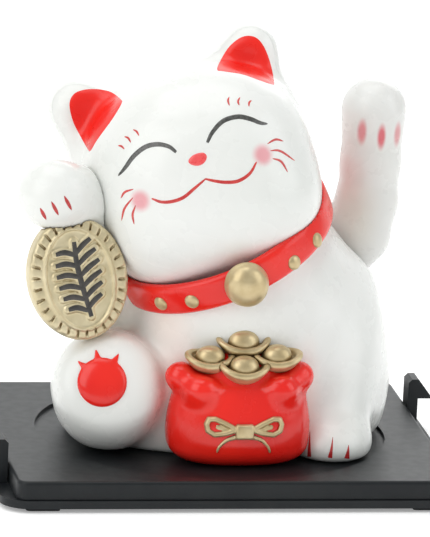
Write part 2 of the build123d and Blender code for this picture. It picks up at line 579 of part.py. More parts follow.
def contact(at_x, side):
    """A sprung metal plate inside one end of the box, with its tab through the end wall."""
    inner = at_x - side * PLATE_T
    tip = at_x + side * (BOX_WALL + TAB_OUT)
    plate = box(*sorted((at_x, inner)), CELL_Y - PLATE_W / 2, CELL_Y + PLATE_W / 2, PLATE_Z0, PLATE_Z1)
    tab = box(*sorted((inner, tip)), CELL_Y - TAB_W / 2, CELL_Y + TAB_W / 2, PLATE_Z1 - PLATE_T, PLATE_Z1)
    return plate + tab


def battery_spring():
    """The coil spring that pushes the cell, wound from one length of wire."""
    path = Helix(pitch=SPRING_LENGTH / SPRING_TURNS, height=SPRING_LENGTH, radius=SPRING_R)
    profile = Plane(origin=path @ 0, z_dir=path % 0) * Circle(SPRING_WIRE_R)
    coil = sweep(profile, path=path)
    return Pos(BOX_X0 + BOX_WALL + SPRING_OFFSET, CELL_Y, CELL_Z) * Rot(0, 90, 0) * coil


def battery_door():
    """The door under the box: a plate with a rounded hinge edge, two hinge pins and grip slots."""
    barrel = rod_x(DOOR_X0, DOOR_X1, DOOR_HINGE_Y, DOOR_HINGE_Z, DOOR_BARREL_R)
    plate = box(DOOR_X0, DOOR_X1, DOOR_Y0, DOOR_Y1, DOOR_Z, DOOR_Z + DOOR_T)
    rear = box(DOOR_X0, DOOR_X1, DOOR_HINGE_Y, DOOR_Y1, DOOR_Z, DOOR_Z + DOOR_T)
    door = plate & (barrel + rear)
    pin_length = DOOR_PIN_L - BOX_CLEAR
    door += rod_x(DOOR_X0 - pin_length, DOOR_X0 + SINK, DOOR_HINGE_Y, DOOR_HINGE_Z, DOOR_PIN_R)
    door += rod_x(DOOR_X1 - SINK, DOOR_X1 + pin_length, DOOR_HINGE_Y, DOOR_HINGE_Z, DOOR_PIN_R)
    for k in range(GRIP_COUNT):
        x = (DOOR_X0 + DOOR_X1) / 2 + (k - 1) * GRIP_PITCH
        door -= box(x - GRIP_W / 2, x + GRIP_W / 2, DOOR_Y1 - GRIP_FROM, DOOR_Y1 - GRIP_TO, 0, DOOR_Z + GRIP_DEPTH)
    return door


def lead(points):
    """A round wire along a smooth path."""
    path = Spline(*points)
    profile = Plane(origin=path @ 0, z_dir=path % 0) * Circle(LEAD_R)
    return sweep(profile, path=path)


# ---------------------------------------------------------------- drive

def pivot_frame():
    """Two posts with bores for the pin, joined at the back, on screwed feet."""
    frame = None
    for x in (LEFT_POST_X, RIGHT_POST_X):
        post = box(x, x + POST_T, POST_FRONT, POST_BACK, FLOOR, POST_TOP)
        frame = post if frame is None else frame + post
    frame += box(LEFT_POST_X, RIGHT_POST_X + POST_T, POST_BACK - BRIDGE_T, POST_BACK, BRIDGE_Z0, BRIDGE_Z1)
    for x in (LEFT_POST_X - FRAME_FOOT, RIGHT_POST_X + POST_T):
        frame += box(x, x + FRAME_FOOT, POST_FRONT, POST_FRONT + FRAME_FOOT, FLOOR, FLOOR + FRAME_FOOT_H)
    for x, y in frame_screw_places():
        frame -= rod(x, y, 0, FLOOR + FRAME_FOOT_H + SINK, SCREW_R)
    frame -= rod_x(0, FAR, PIVOT_Y, PIVOT_Z, PIN_R + RUNNING)
    return frame


def frame_screw_places():
    """The two feet of the pivot frame."""
    return [(LEFT_POST_X - FRAME_SCREW_OUT, PIVOT_Y), (RIGHT_POST_X + POST_T + FRAME_SCREW_OUT, PIVOT_Y)]


def pendulum_lever():
    """The lever clamped on the pin, down to its magnet cup, with a seat for the weight."""
    x0, x1 = LEFT_POST_X + POST_T + LEVER_PLAY, RIGHT_POST_X - LEVER_PLAY
    magnet_top = MAGNET_Z + MAGNET_T / 2
    lever = rod_x(x0, x1, PIVOT_Y, PIVOT_Z, LEVER_HUB_R)
    lever += Pos(LEVER_X, PIVOT_Y, (magnet_top + PIVOT_Z) / 2) * Box(LEVER_T, LEVER_W, PIVOT_Z - magnet_top)
    lever += rod(LEVER_X, PIVOT_Y, MAGNET_Z - MAGNET_T / 2, magnet_top + CUP_TOP, MAGNET_R + CUP_WALL)
    lever += Pos(LEVER_X, PIVOT_Y, (SEAT_Z0 + SEAT_Z1) / 2) * Box(SEAT_W, SEAT_D, SEAT_Z1 - SEAT_Z0)
    lever -= rod(LEVER_X, PIVOT_Y, 0, magnet_top, MAGNET_R)
    lever -= rod_x(LEVER_X - SEAT_W, LEVER_X + SEAT_W, PIVOT_Y, WEIGHT_Z, WEIGHT_R)
    lever -= rod_x(0, FAR, PIVOT_Y, PIVOT_Z, PIN_R)
    return lever


def counterweight():
    """The steel slug in the lever's seat."""
    return rod_x(LEVER_X - WEIGHT_LENGTH / 2, LEVER_X + WEIGHT_LENGTH / 2, PIVOT_Y, WEIGHT_Z, WEIGHT_R)


def arm_plug():
    """The plug pressed on the pin's end, flanged so that the two arm halves close on it."""
    flange_x = HUB_LEFT + ARM_WALL + GAP
    plug = rod_x(PLUG_X0, PLUG_X1, PIVOT_Y, PIVOT_Z, PLUG_R)
    plug += rod_x(flange_x, flange_x + PLUG_FLANGE_T, PIVOT_Y, PIVOT_Z, PLUG_FLANGE_R)
    plug -= rod_x(0, FAR, PIVOT_Y, PIVOT_Z, PIN_R)
    return plug


def arm_form(inset=0.0):
    """The waving arm's outer form: a hub on the pivot line, an elbow and an upright forearm."""
    r = HUB_R - inset
    (wrist_x, wrist_z), (tip_x, tip_z) = WRIST, ARM_TIP
    form = limb((wrist_x, PIVOT_Y, PIVOT_Z + wrist_z), (tip_x, PIVOT_Y, PIVOT_Z + tip_z), r, r + TIP_SWELL)
    for (x0, z0), (x1, z1) in zip(ARM_PATH, ARM_PATH[1:]):
        form += limb((x0, PIVOT_Y, PIVOT_Z + z0), (x1, PIVOT_Y, PIVOT_Z + z1), r, r)
    return form - box(0, HUB_LEFT + inset, -FAR, FAR, -FAR, 2 * FAR)


def arm_shells():
    """Front and rear halves of the hollow arm."""
    hollow = arm_form() - arm_form(ARM_WALL)
    hollow -= rod_x(PLUG_X0, PLUG_X1, PIVOT_Y, PIVOT_Z, PLUG_R + PLUG_FIT)
    front = hollow & box(0, FAR, -FAR, PIVOT_Y, 0, 2 * FAR)
    rear = hollow & box(0, FAR, PIVOT_Y, FAR, 0, 2 * FAR)
    return front, rear


def circuit_board():
    """The drive board, on two ribs of the platform."""
    return box(*BOARD)


def coil_bobbin():
    """The flanged spool on the board under the magnet."""
    x, y = COIL_AT
    top = BOARD[5]
    bobbin = rod(x, y, top, COIL_TOP, COIL_BORE)
    bobbin += rod(x, y, top, top + FLANGE_OF_COIL, COIL_R)
    bobbin += rod(x, y, COIL_TOP - FLANGE_OF_COIL, COIL_TOP, COIL_R)
    return bobbin


def drive_coil():
    """The copper winding between the spool's flanges."""
    x, y = COIL_AT
    z0, z1 = BOARD[5] + FLANGE_OF_COIL, COIL_TOP - FLANGE_OF_COIL
    return rod(x, y, z0, z1, COIL_R - WINDING_INSET) - rod(x, y, z0, z1, COIL_BORE)


def drive_chip():
    """The drive circuit, a small eight-leg package."""
    x0, x1, y0, y1, low, high = CHIP
    z = BOARD[5]
    chip = box(x0, x1, y0, y1, z + low, z + high)
    for k in range(CHIP_LEGS):
        x = LEG_X + k * LEG_PITCH
        chip += box(x - LEG_W / 2, x + LEG_W / 2, y0 - LEG_OUT, y1 + LEG_OUT, z, z + LEG_H)
    return chip


def capacitor():
    """The board's round capacitor."""
    can = rod(*CAPACITOR_AT, BOARD[5], BOARD[5] + CAPACITOR_H, CAPACITOR_R)
    return fillet(can.edges().group_by(Axis.Z)[-1], CAPACITOR_EDGE_R)


def switch_body():
    """The slide switch's case, on the tray's floor."""
    x, y = SWITCH_AT
    case = box(x - SWITCH_W / 2, x + SWITCH_W / 2, y - SWITCH_D / 2, y + SWITCH_D / 2, FOOT_H + TRAY_T, SWITCH_TOP)
    well_w, well_d = SWITCH_WELL_W / 2, SWITCH_WELL_D / 2
    return case - box(x - well_w, x + well_w, y - well_d, y + well_d, 0, SWITCH_WELL_TOP)


def switch_knob():
    """The sliding knob, shown at the off end of its slot."""
    x, y = SWITCH_AT
    left = x - SWITCH_TRAVEL / 2
    knob = box(left - KNOB_W / 2, left + KNOB_W / 2, y - KNOB_D / 2, y + KNOB_D / 2, KNOB_Z0, KNOB_Z1)
    for k in (-1, 0, 1):
        knob -= Pos(left + k, y, KNOB_Z0) * Box(KNOB_GROOVE, KNOB_D, 2 * KNOB_GROOVE_DEPTH)
    return knob


# ---------------------------------------------------------------- build

def main():
    os.makedirs("parts", exist_ok=True)

    outer = cat_body()
    clear = cat_body(-GAP)
    clear_head = head_form(-HEAD_GAP)
    body_front, body_rear = body_shells(outer)
    head_front, head_rear = head_shells()
    write("body_front_shell", body_front)
    write("body_rear_shell", body_rear)
    write("head_front_shell", head_front)
    write("head_rear_shell", head_rear)

    collar = collar_ring()
    bag = money_bag(clear)
    write("collar", collar)
    write("collar_studs", collar_studs(collar, clear_head))
    write("bell", front_bell(collar, clear + clear_head))
    clear_collar = Location(COLLAR_PLANE) * Cylinder(COLLAR_R + GAP, COLLAR_H + 2 * GAP)
    write("koban_coin", koban_coin(clear + clear_head + clear_collar))
    write("sole_pad", sole_pad(outer))
    write("money_bag", bag)
    write("gold_ingots", gold_ingots(clear + bag))
    write("bag_bow", bag_bow(bag))

    write("base_tray", base_tray())
    write("base_platform", base_platform())
    write("tray_screws", screws(TRAY_SCREWS, FOOT_H + SEAT, TRAY_SCREW_L))
    write("body_screws", screws(BODY_BOSSES, FLOOR - DECK_T - SCREW_HEAD_H, BODY_SCREW_L))
    frame_head = FLOOR + FRAME_FOOT_H + SCREW_HEAD_H
    write("frame_screws", screws(frame_screw_places(), frame_head, FRAME_SCREW_L, up=False))

    write("battery_box", battery_box())
    write("battery_cell", battery_cell())
    write("battery_door", battery_door())
    write("contact_plate", contact(BOX_X1 - BOX_WALL, 1))
    write("contact_spring_plate", contact(BOX_X0 + BOX_WALL, -1))
    write("contact_spring", battery_spring())
    write("lead_positive", lead(POSITIVE_LEAD))
    write("lead_negative", lead(NEGATIVE_LEAD))

    write("circuit_board", circuit_board())
    write("coil_bobbin", coil_bobbin())
    write("drive_coil", drive_coil())
    write("drive_chip", drive_chip())
    write("capacitor", capacitor())
    write("switch_body", switch_body())
    write("switch_knob", switch_knob())

    write("pivot_frame", pivot_frame())
    write("pivot_pin", rod_x(PIN_LEFT, PIN_RIGHT, PIVOT_Y, PIVOT_Z, PIN_R))
    write("pendulum_lever", pendulum_lever())
    write("counterweight", counterweight())
    write("magnet", rod(LEVER_X, PIVOT_Y, MAGNET_Z - MAGNET_T / 2, MAGNET_Z + MAGNET_T / 2, MAGNET_R))
    write("arm_plug", arm_plug())
    arm_front, arm_rear = arm_shells()
    write("arm_front_shell", arm_front)
    write("arm_rear_shell", arm_rear)


main()
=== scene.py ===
import json
import math

import bmesh
import bpy
import numpy as np
from mathutils import Matrix, Vector

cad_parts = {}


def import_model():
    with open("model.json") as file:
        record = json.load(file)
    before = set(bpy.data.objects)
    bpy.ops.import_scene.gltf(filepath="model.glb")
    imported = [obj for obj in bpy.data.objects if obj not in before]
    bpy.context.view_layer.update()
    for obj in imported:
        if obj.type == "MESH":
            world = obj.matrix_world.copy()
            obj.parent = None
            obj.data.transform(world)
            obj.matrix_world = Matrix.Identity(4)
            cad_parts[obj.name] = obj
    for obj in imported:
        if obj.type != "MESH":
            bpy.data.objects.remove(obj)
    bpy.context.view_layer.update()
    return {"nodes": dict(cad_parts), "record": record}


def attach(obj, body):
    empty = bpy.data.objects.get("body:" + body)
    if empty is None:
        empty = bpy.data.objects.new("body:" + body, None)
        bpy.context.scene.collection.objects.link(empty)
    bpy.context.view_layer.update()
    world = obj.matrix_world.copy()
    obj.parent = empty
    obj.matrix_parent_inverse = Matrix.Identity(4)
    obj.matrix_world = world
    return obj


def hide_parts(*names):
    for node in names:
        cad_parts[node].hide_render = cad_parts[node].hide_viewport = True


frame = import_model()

# The looks of a beckoning cat figurine. Sizes are in millimetres in the row frame: the cat faces -Y, +Z is
# up and +X is the waving arm's side. Smooth moulded forms are written as fields, negative inside the form.

MM = 0.001

FLOOR = 7.5                      # the recess floor of the platform, on which the cat stands
PARTING_Y = 5.6                  # the body shells meet here
BODY_WALL, ARM_WALL = 1.8, 1.3
SEAM, ARM_SEAM = 0.02, 0.01      # half gaps between the halves of the shells
PIVOT = np.array([0.0, 18.0, 54.0])
SWING = (-18.0, -9.0, 0.0, 9.0, 18.0)
FINE = 1.0
SHELL_STEP, ARM_STEP = 0.85 * FINE, 0.7 * FINE      # mesh sizes of the shells
SEAM_REACH = 0.001
FAR_INSIDE = 99.0
ACROSS_Y = np.array([0.0, 1.0, 0.0])


# --- frames

def unit(vector):
    return np.asarray(vector, float) / np.linalg.norm(vector)


def turned_frame(turn, lift, tilt):
    """Right, backward and up directions of something turned, lifted and tilted by degrees."""
    a, e, r = (math.radians(v) for v in (turn, lift, tilt))
    right = np.array([math.cos(a), math.sin(a), 0.0])
    facing = np.array([math.sin(a) * math.cos(e), -math.cos(a) * math.cos(e), math.sin(e)])
    up = np.cross(facing, right)
    u = right * math.cos(r) + up * math.sin(r)
    v = up * math.cos(r) - right * math.sin(r)
    return np.array([u, -facing, v])


HEAD_AT = np.array([-6.0, -3.0, 80.7])
HEAD_AXES = turned_frame(-10.2, 14.5, 19.5)
COLLAR_AT = np.array([0.85, 1.45, 63.1])
COLLAR_AXIS = unit([-0.424, -0.1726, 0.889])
COLLAR_SIDE = unit(HEAD_AXES[0] - COLLAR_AXIS * (HEAD_AXES[0] @ COLLAR_AXIS))
COLLAR_AXES = np.array([COLLAR_SIDE, np.cross(COLLAR_AXIS, COLLAR_SIDE), COLLAR_AXIS])
VIEW_AXES = turned_frame(-10.23, 14.48, 0.0)      # the direction the object is mostly seen from


def local(p, at, axes):
    """Points in the axes of a frame placed at a point."""
    return (p - at) @ axes.T


def world(q, at, axes):
    """Points of a placed frame back in the row frame."""
    return np.asarray(q, float) @ axes + at


# --- field pieces

def ball(p, centre, half):
    """An ellipsoid along the axes of its points."""
    q = (p - np.asarray(centre, float)) / np.asarray(half, float)
    k0 = np.linalg.norm(q, axis=1)
    k1 = np.linalg.norm(q / np.asarray(half, float), axis=1)
    return k0 * (k0 - 1.0) / np.maximum(k1, 1e-9)


def rod(p, a, b, r0, r1):
    """A round-ended tapered rod."""
    a, b = np.asarray(a, float), np.asarray(b, float)
    along = b - a
    t = np.clip(((p - a) @ along) / (along @ along), 0.0, 1.0)
    return np.linalg.norm(p - a - t[:, None] * along, axis=1) - (r0 + (r1 - r0) * t)


def join(a, b, k):
    """Union with a fillet of about k."""
    h = np.maximum(k - np.abs(a - b), 0.0) / k
    return np.minimum(a, b) - h * h * k * 0.25


def carve(a, b, k):
    """a without b, with a rounded edge of about k."""
    h = np.maximum(k - np.abs(a + b), 0.0) / k
    return np.maximum(a, -b) + h * h * k * 0.25


def both(a, b, k):
    """Where a and b overlap, with a rounded edge of about k."""
    return carve(a, -b, k)


def smooth_curve(x, xs, ys):
    """A smooth curve through a few points, flat beyond its ends."""
    xs, ys = np.asarray(xs, float), np.asarray(ys, float)
    slopes = np.gradient(ys, xs)
    x = np.clip(x, xs[0], xs[-1])
    i = np.clip(np.searchsorted(xs, x) - 1, 0, len(xs) - 2)
    h = xs[i + 1] - xs[i]
    t = (x - xs[i]) / h
    return ((2 * t ** 3 - 3 * t ** 2 + 1) * ys[i] + (t ** 3 - 2 * t ** 2 + t) * h * slopes[i]
            + (3 * t ** 2 - 2 * t ** 3) * ys[i + 1] + (t ** 3 - t ** 2) * h * slopes[i + 1])


# --- the cat's forms

HEAD_HALF_W, HEAD_HALF_D, HEAD_CHIN, HEAD_CROWN = 31.4, 27.5, 28.6, 29.6
EAR_LEFT = [(-27.4, 27.9), (-15.0, 20.5), (-25.5, 12.0)]        # tip, inner root and outer root
EAR_RIGHT = [(22.4, 29.1), (13.0, 24.0), (21.5, 12.0)]
EAR_TIP_R, EAR_ROOT_R, EAR_DEEP, EAR_BACK = 6.4, 7.5, 0.62, 2.4
EAR_HOLLOW, EAR_HOLLOW_Y, EAR_FILLET = (5.6, 4.6, 6.6), -5.6, 4.0
SQUARE_CHIN, SQUARE_CROWN, SQUARE_SIDE = 2.75, 2.45, 2.25      # 2 is round, more is squarer


def ear(q, corners):
    """One ear in head axes: a flattened pad with rounded corners and a shallow hollow in front."""
    flat = q * np.array([1.0, 1.0 / EAR_DEEP, 1.0])
    tip, inner, outer = [(u, EAR_BACK / EAR_DEEP, v) for u, v in corners]
    form = join(rod(flat, inner, tip, EAR_ROOT_R, EAR_TIP_R), rod(flat, outer, tip, EAR_ROOT_R, EAR_TIP_R),
                EAR_FILLET)
    middle = np.mean(corners, 0)
    centre = (middle[0] * 0.6 + tip[0] * 0.4, EAR_HOLLOW_Y, (middle[1] + tip[2]) * 0.5)
    hollow = ball(q, centre, EAR_HOLLOW)
    return carve(form * EAR_DEEP, hollow, 2.2)


def head(p):
    """The rounded square head with its ears."""
    q = local(p, HEAD_AT, HEAD_AXES)
    square = np.where(q[:, 2] < 0, SQUARE_CHIN, SQUARE_CROWN)
    half_v = np.where(q[:, 2] < 0, HEAD_CHIN, HEAD_CROWN)
    face = (np.abs(q[:, 0] / HEAD_HALF_W) ** square + np.abs(q[:, 2] / half_v) ** square) ** (1 / square)
    k = (face ** SQUARE_SIDE + np.abs(q[:, 1] / HEAD_HALF_D) ** SQUARE_SIDE) ** (1 / SQUARE_SIDE)
    form = (k - 1.0) * np.linalg.norm(q, axis=1) / np.maximum(k, 0.05)
    for corners in (EAR_LEFT, EAR_RIGHT):
        form = join(form, ear(q, corners), EAR_FILLET)
    return form


TRUNK_LEVELS = (4.5, 12.0, 17.0, 23.0, 28.0, 32.5, 38.0, 43.0, 51.0, 59.0, 64.0, 70.0)
TRUNK_HALF_W = (40.5, 44.6, 45.6, 46.0, 44.6, 41.4, 37.0, 33.1, 29.2, 25.7, 25.0, 24.6)
TRUNK_HALF_D = (28.0, 30.4, 31.2, 31.4, 31.4, 31.2, 30.9, 30.4, 29.6, 28.0, 27.4, 27.0)
CENTRE_LEVELS = (8.0, 30.0, 44.0, 57.5, 64.0, 70.0)
CENTRE_X = (4.0, 4.0, 3.6, 1.7, 0.8, -0.8)
CENTRE_Y = (6.0, 6.0, 4.4, 2.6, 1.5, 0.6)
LEAN_FROM, LEAN_OVER, LEAN_ABOUT, TRUNK_TOP = 18.0, 44.0, (2.9, 2.5), 69.0


def trunk(p):
    """The pear-shaped trunk, its levels leaning into the collar's plane towards the neck."""
    x, y, z = p[:, 0], p[:, 1], p[:, 2]
    share = np.clip((z - LEAN_FROM) / LEAN_OVER, 0.0, 1.0)
    share = share * share * (3 - 2 * share)
    lean = COLLAR_AXIS[:2] / COLLAR_AXIS[2]
    level = z + share * ((x - LEAN_ABOUT[0]) * lean[0] + (y - LEAN_ABOUT[1]) * lean[1])
    centre_x = smooth_curve(level, CENTRE_LEVELS, CENTRE_X)
    centre_y = smooth_curve(level, CENTRE_LEVELS, CENTRE_Y)
    half_w = smooth_curve(level, TRUNK_LEVELS, TRUNK_HALF_W)
    half_d = smooth_curve(level, TRUNK_LEVELS, TRUNK_HALF_D)
    k = np.sqrt(((x - centre_x) / half_w) ** 2 + ((y - centre_y) / half_d) ** 2)
    return np.maximum((k - 1.0) * half_d, level - TRUNK_TOP)


# Limbs as rods: both ends and the radius at each
RAISED_ARM = ((-30.0, 6.0, 46.0), (-40.0, -8.0, 75.0), 12.0, 9.5)
PAW_AT, PAW_HALF = np.array([-48.0, -15.0, 78.7]), (10.2, 9.2, 9.5)
SOLE_OUT = unit([-0.14, -0.935, 0.325])
HEEL_AT = np.array([-31.2, -15.8, 25.4])
SOLE_AT = HEEL_AT + 10.6 * SOLE_OUT
THIGH = ((-27.0, 2.0, 22.0), HEEL_AT, 15.2, 15.2)
HEEL = (HEEL_AT, (-30.8, -14.2, 22.2), 15.2, 14.8)
FRONT_LEG = ((33.0, 0.0, 38.0), (30.5, -15.0, 15.0), 10.0, 9.0)
FRONT_PAW_AT, FRONT_PAW_HALF = (29.8, -19.6, 11.2), (11.2, 12.0, 7.6)
TAIL_ROOT = ((-2.0, 33.0, 15.0), (7.0, 37.5, 19.0), 5.2, 5.2)
TAIL_TIP = ((7.0, 37.5, 19.0), (11.0, 36.6, 27.0), 5.2, 4.6)


def raised_arm(p):
    """Shoulder to wrist, and the mitten paw over the coin."""
    return join(rod(p, *RAISED_ARM), ball(p, PAW_AT, PAW_HALF), 6.0)


def hind_foot(p):
    """The raised hind foot: a fat egg-shaped leg with a flat, softly rimmed sole."""
    return both(join(rod(p, *THIGH), rod(p, *HEEL), 2.0), (p - SOLE_AT) @ SOLE_OUT, 3.4)


def front_foot(p):
    """The standing front leg and its paw."""
    return join(rod(p, *FRONT_LEG), ball(p, FRONT_PAW_AT, FRONT_PAW_HALF), 6.0)


def tail(p):
    """The short tail at the back."""
    return join(rod(p, *TAIL_ROOT), rod(p, *TAIL_TIP), 2.0)


def body(p):
    """The trunk with every limb moulded to it."""
    form = join(trunk(p), raised_arm(p), 7.0)
    form = join(form, hind_foot(p), 2.6)
    form = join(form, front_foot(p), 6.0)
    form = both(join(form, tail(p), 3.0), FLOOR + 0.05 - p[:, 2], 2.4)
    return carve(form, head(p) - 0.25, 0.4)


def neck_opening(p):
    """The body is open inside the collar, above the collar's middle and up to the raised arm."""
    q = local(p, COLLAR_AT, COLLAR_AXES)
    return np.max([-q[:, 2] - 0.8, q[:, 2] - 14.0, np.hypot(q[:, 0], q[:, 1]) - 30.4], axis=0)


def bottom_opening(p):
    """The body's open underside."""
    edge = np.sqrt(((p[:, 0] - 4.0) / 36.0) ** 2 + ((p[:, 1] - 6.0) / 24.0) ** 2) - 1.0
    return np.maximum(p[:, 2] - FLOOR - 1.0, edge * 24.0)


ARM_PATH = [(24.0, 54.0), (36.5, 54.6), (41.4, 60.0), (44.0, 69.0), (44.5, 80.0), (44.7, 94.8)]
ARM_RADII = [8.2, 8.8, 9.0, 8.2, 7.9, 8.9]
ARM_ROOM, HUB_END, STUB_END = 1.8, 28.0, 28.15


def waving_arm(p):
    """The hub on the pivot line, the elbow and the upright forearm with its wider paw."""
    form = None
    for k in range(len(ARM_PATH) - 1):
        a = (ARM_PATH[k][0], PIVOT[1], ARM_PATH[k][1])
        b = (ARM_PATH[k + 1][0], PIVOT[1], ARM_PATH[k + 1][1])
        part = rod(p, a, b, ARM_RADII[k], ARM_RADII[k + 1])
        form = part if form is None else join(form, part, 2.5)
    return np.maximum(form, HUB_END - p[:, 0])


def arm_opening(p):
    """The opening the arm swings in: the arm's own form at several angles, with room round it."""
    forms = []
    for angle in np.radians(SWING):
        s, c = math.sin(angle), math.cos(angle)
        turned = (p - PIVOT) @ np.array([[1, 0, 0], [0, c, -s], [0, s, c]]) + PIVOT
        forms.append(waving_arm(turned))
    return np.min(forms, axis=0) - ARM_ROOM


# --- meshing

def gradient(field, p, h=0.05):
    """Central differences of a field."""
    out = np.empty_like(p)
    for i in range(3):
        step = np.zeros(3)
        step[i] = h
        out[:, i] = (field(p + step) - field(p - step)) / (2 * h)
    return out


def settle(field, p, rounds=3, reach=1.0):
    """Moves points onto the surface where a field is 0."""
    for _ in range(rounds):
        g = gradient(field, p)
        move = field(p)[:, None] * g / np.maximum((g * g).sum(1), 1e-6)[:, None]
        size = np.linalg.norm(move, axis=1)[:, None]
        p = p - move * np.minimum(1.0, reach / np.maximum(size, 1e-9))
    return p


def sample(field, axes, step, block=6):
    """Field values on a grid, worked out only in blocks near the surface."""
    counts = [len(a) for a in axes]
    blocks = [-(-n // block) for n in counts]
    mids = [axes[i][0] + step * (block * np.arange(blocks[i]) + (block - 1) / 2) for i in range(3)]
    grid = np.stack(np.meshgrid(*mids, indexing="ij"), -1).reshape(-1, 3)
    coarse = field(grid)
    values = np.sign(coarse).reshape(blocks) * FAR_INSIDE
    for axis in range(3):
        values = np.repeat(values, block, axis)
    near = np.argwhere(np.abs(coarse).reshape(blocks) < step * block * 1.7)
    cell = np.stack(np.meshgrid(*[np.arange(block)] * 3, indexing="ij"), -1).reshape(-1, 3)
    for part in np.array_split(near, max(1, len(near) // 1500)):
        index = (part[:, None, :] * block + cell[None]).reshape(-1, 3)
        points = np.stack([axes[i][0] + step * index[:, i] for i in range(3)], 1)
        values[index[:, 0], index[:, 1], index[:, 2]] = field(points)
    return values[:counts[0], :counts[1], :counts[2]]


def surface(field, low, high, step, relax=2):
    """Vertices and quads of the closed surface where a field is 0."""
    low, high = np.asarray(low, float) - 2 * step, np.asarray(high, float) + 2 * step
    counts = np.ceil((high - low) / step).astype(int) + 1
    axes = [low[i] + step * np.arange(counts[i]) for i in range(3)]
    value = sample(field, axes, step)
    inside = value < 0
    corners = [(i, j, k) for i in (0, 1) for j in (0, 1) for k in (0, 1)]
    n = [c - 1 for c in counts]
    total = sum(inside[i:i + n[0], j:j + n[1], k:k + n[2]].astype(np.int8) for i, j, k in corners)
    mixed = (total > 0) & (total < 8)
    ids = np.full(mixed.shape, -1)
    ids[mixed] = np.arange(mixed.sum())
    base = np.argwhere(mixed)
    place, hits = np.zeros((len(base), 3)), np.zeros(len(base))
    for a in corners:
        for b in corners:
            if sum(b) - sum(a) != 1 or any(b[i] < a[i] for i in range(3)):
                continue
            va = value[base[:, 0] + a[0], base[:, 1] + a[1], base[:, 2] + a[2]]
            vb = value[base[:, 0] + b[0], base[:, 1] + b[1], base[:, 2] + b[2]]
            cross = (va < 0) != (vb < 0)
            t = (va / np.where(cross, va - vb, 1.0))[:, None]
            place += np.where(cross[:, None], np.array(a) + t * (np.array(b) - np.array(a)), 0.0)
            hits += cross
    points = low + step * (base + place / hits[:, None])
    quads = []
    for axis in range(3):
        u, v = (axis + 1) % 3, (axis + 2) % 3
        first = np.take(inside, range(counts[axis] - 1), axis)
        second = np.take(inside, range(1, counts[axis]), axis)
        at = np.argwhere(first != second)
        at = at[(at[:, u] > 0) & (at[:, v] > 0) & (at[:, u] < n[u]) & (at[:, v] < n[v])]
        ring = []
        for du, dv in ((0, 0), (-1, 0), (-1, -1), (0, -1)):
            c = at.copy()
            c[:, u] += du
            c[:, v] += dv
            ring.append(ids[c[:, 0], c[:, 1], c[:, 2]])
        ring = np.stack(ring, 1)
        solid_first = inside[at[:, 0], at[:, 1], at[:, 2]]
        quads.append(np.where(solid_first[:, None], ring, ring[:, ::-1]))
    quads = np.concatenate(quads)
    quads = quads[(quads >= 0).all(1)]
    points = settle(field, points, 2, step)
    for _ in range(relax):
        points = settle(field, points + 0.6 * (neighbour_mean(points, quads) - points), 2, step)
    return points, quads


def neighbour_mean(points, quads):
    """The mean of each point's neighbours along the quads' edges."""
    a = quads.ravel()
    b = np.roll(quads, -1, axis=1).ravel()
    count = np.bincount(a, minlength=len(points)) + np.bincount(b, minlength=len(points))
    total = np.stack([np.bincount(a, points[b, i], len(points)) + np.bincount(b, points[a, i], len(points))
                      for i in range(3)], 1)
    return total / np.maximum(count, 1)[:, None]


def trim(points, quads, field, cutter):
    """Removes the surface where cutter is negative and fits the new edge to the line where both are 0."""
    whole = len(points)
    old = open_edges(quads)
    gone = cutter(points) < 0
    kept = quads[~gone[quads].any(1)]
    used = np.unique(kept)
    points, quads = points[used], np.searchsorted(used, kept)
    edges = open_edges(quads)
    edges = edges[~np.isin(used[edges[:, 0]] * whole + used[edges[:, 1]], old[:, 0] * whole + old[:, 1])]
    rim = np.unique(edges)
    points[rim] = onto_line(points[rim], field, cutter, 6)
    return even_rim(points, quads, edges, field, cutter), quads


def onto_line(points, field, cutter, rounds):
    """Moves points onto the line where both fields are 0."""
    for _ in range(rounds):
        points = settle(field, settle(cutter, points, 1, 2.0), 1, 2.0)
    return points


def even_rim(points, quads, edges, field, cutter):
    """Evens out the points along a new edge and those next to it, so that the edge has no folds."""
    count = np.bincount(edges.ravel(), minlength=len(points))
    rim = np.where(count == 2)[0]
    beside = np.setdiff1d(quads[np.isin(quads, rim).any(1)], np.append(edge_points(quads), edges.ravel()))
    for _ in range(8):
        total = np.zeros_like(points)
        np.add.at(total, edges[:, 0], points[edges[:, 1]])
        np.add.at(total, edges[:, 1], points[edges[:, 0]])
        moved = points[rim] + 0.5 * (total[rim] / 2 - points[rim])
        points[rim] = onto_line(moved, field, cutter, 2)
        mean = neighbour_mean(points, quads)
        points[beside] = settle(field, points[beside] + 0.5 * (mean[beside] - points[beside]), 1, 1.0)
    return points


def main_part(points, quads, share=0.2):
    """The surface without the loose parts that are less than a share of its largest part."""
    after = np.roll(quads, -1, axis=1)
    keys = np.minimum(quads, after) * len(points) + np.maximum(quads, after)
    edges = np.unique(keys.ravel(), return_inverse=True)[1].reshape(quads.shape)
    lone = np.bincount(edges.ravel()) != 2
    label, last = np.arange(len(quads)), None
    while last is None or (label != last).any():
        last = label
        lowest = np.full(edges.max() + 1, len(quads))
        for column in edges.T:
            np.minimum.at(lowest, column, label)
        lowest[lone] = len(quads)
        label = np.minimum(label, lowest[edges].min(1))
        label = label[label]
    sizes = np.bincount(label)
    kept = quads[sizes[label] >= share * sizes.max()]
    used = np.unique(kept)
    return points[used], np.searchsorted(used, kept)


def open_edges(quads):
    """Directed edges that belong to one quad only."""
    a, b = quads.ravel(), np.roll(quads, -1, axis=1).ravel()
    big = int(quads.max()) + 1
    forward, back = a.astype(np.int64) * big + b, b.astype(np.int64) * big + a
    alone = ~np.isin(forward, back)
    return np.stack([a[alone], b[alone]], 1)


def edge_points(quads):
    """Points on open edges."""
    return np.unique(open_edges(quads))


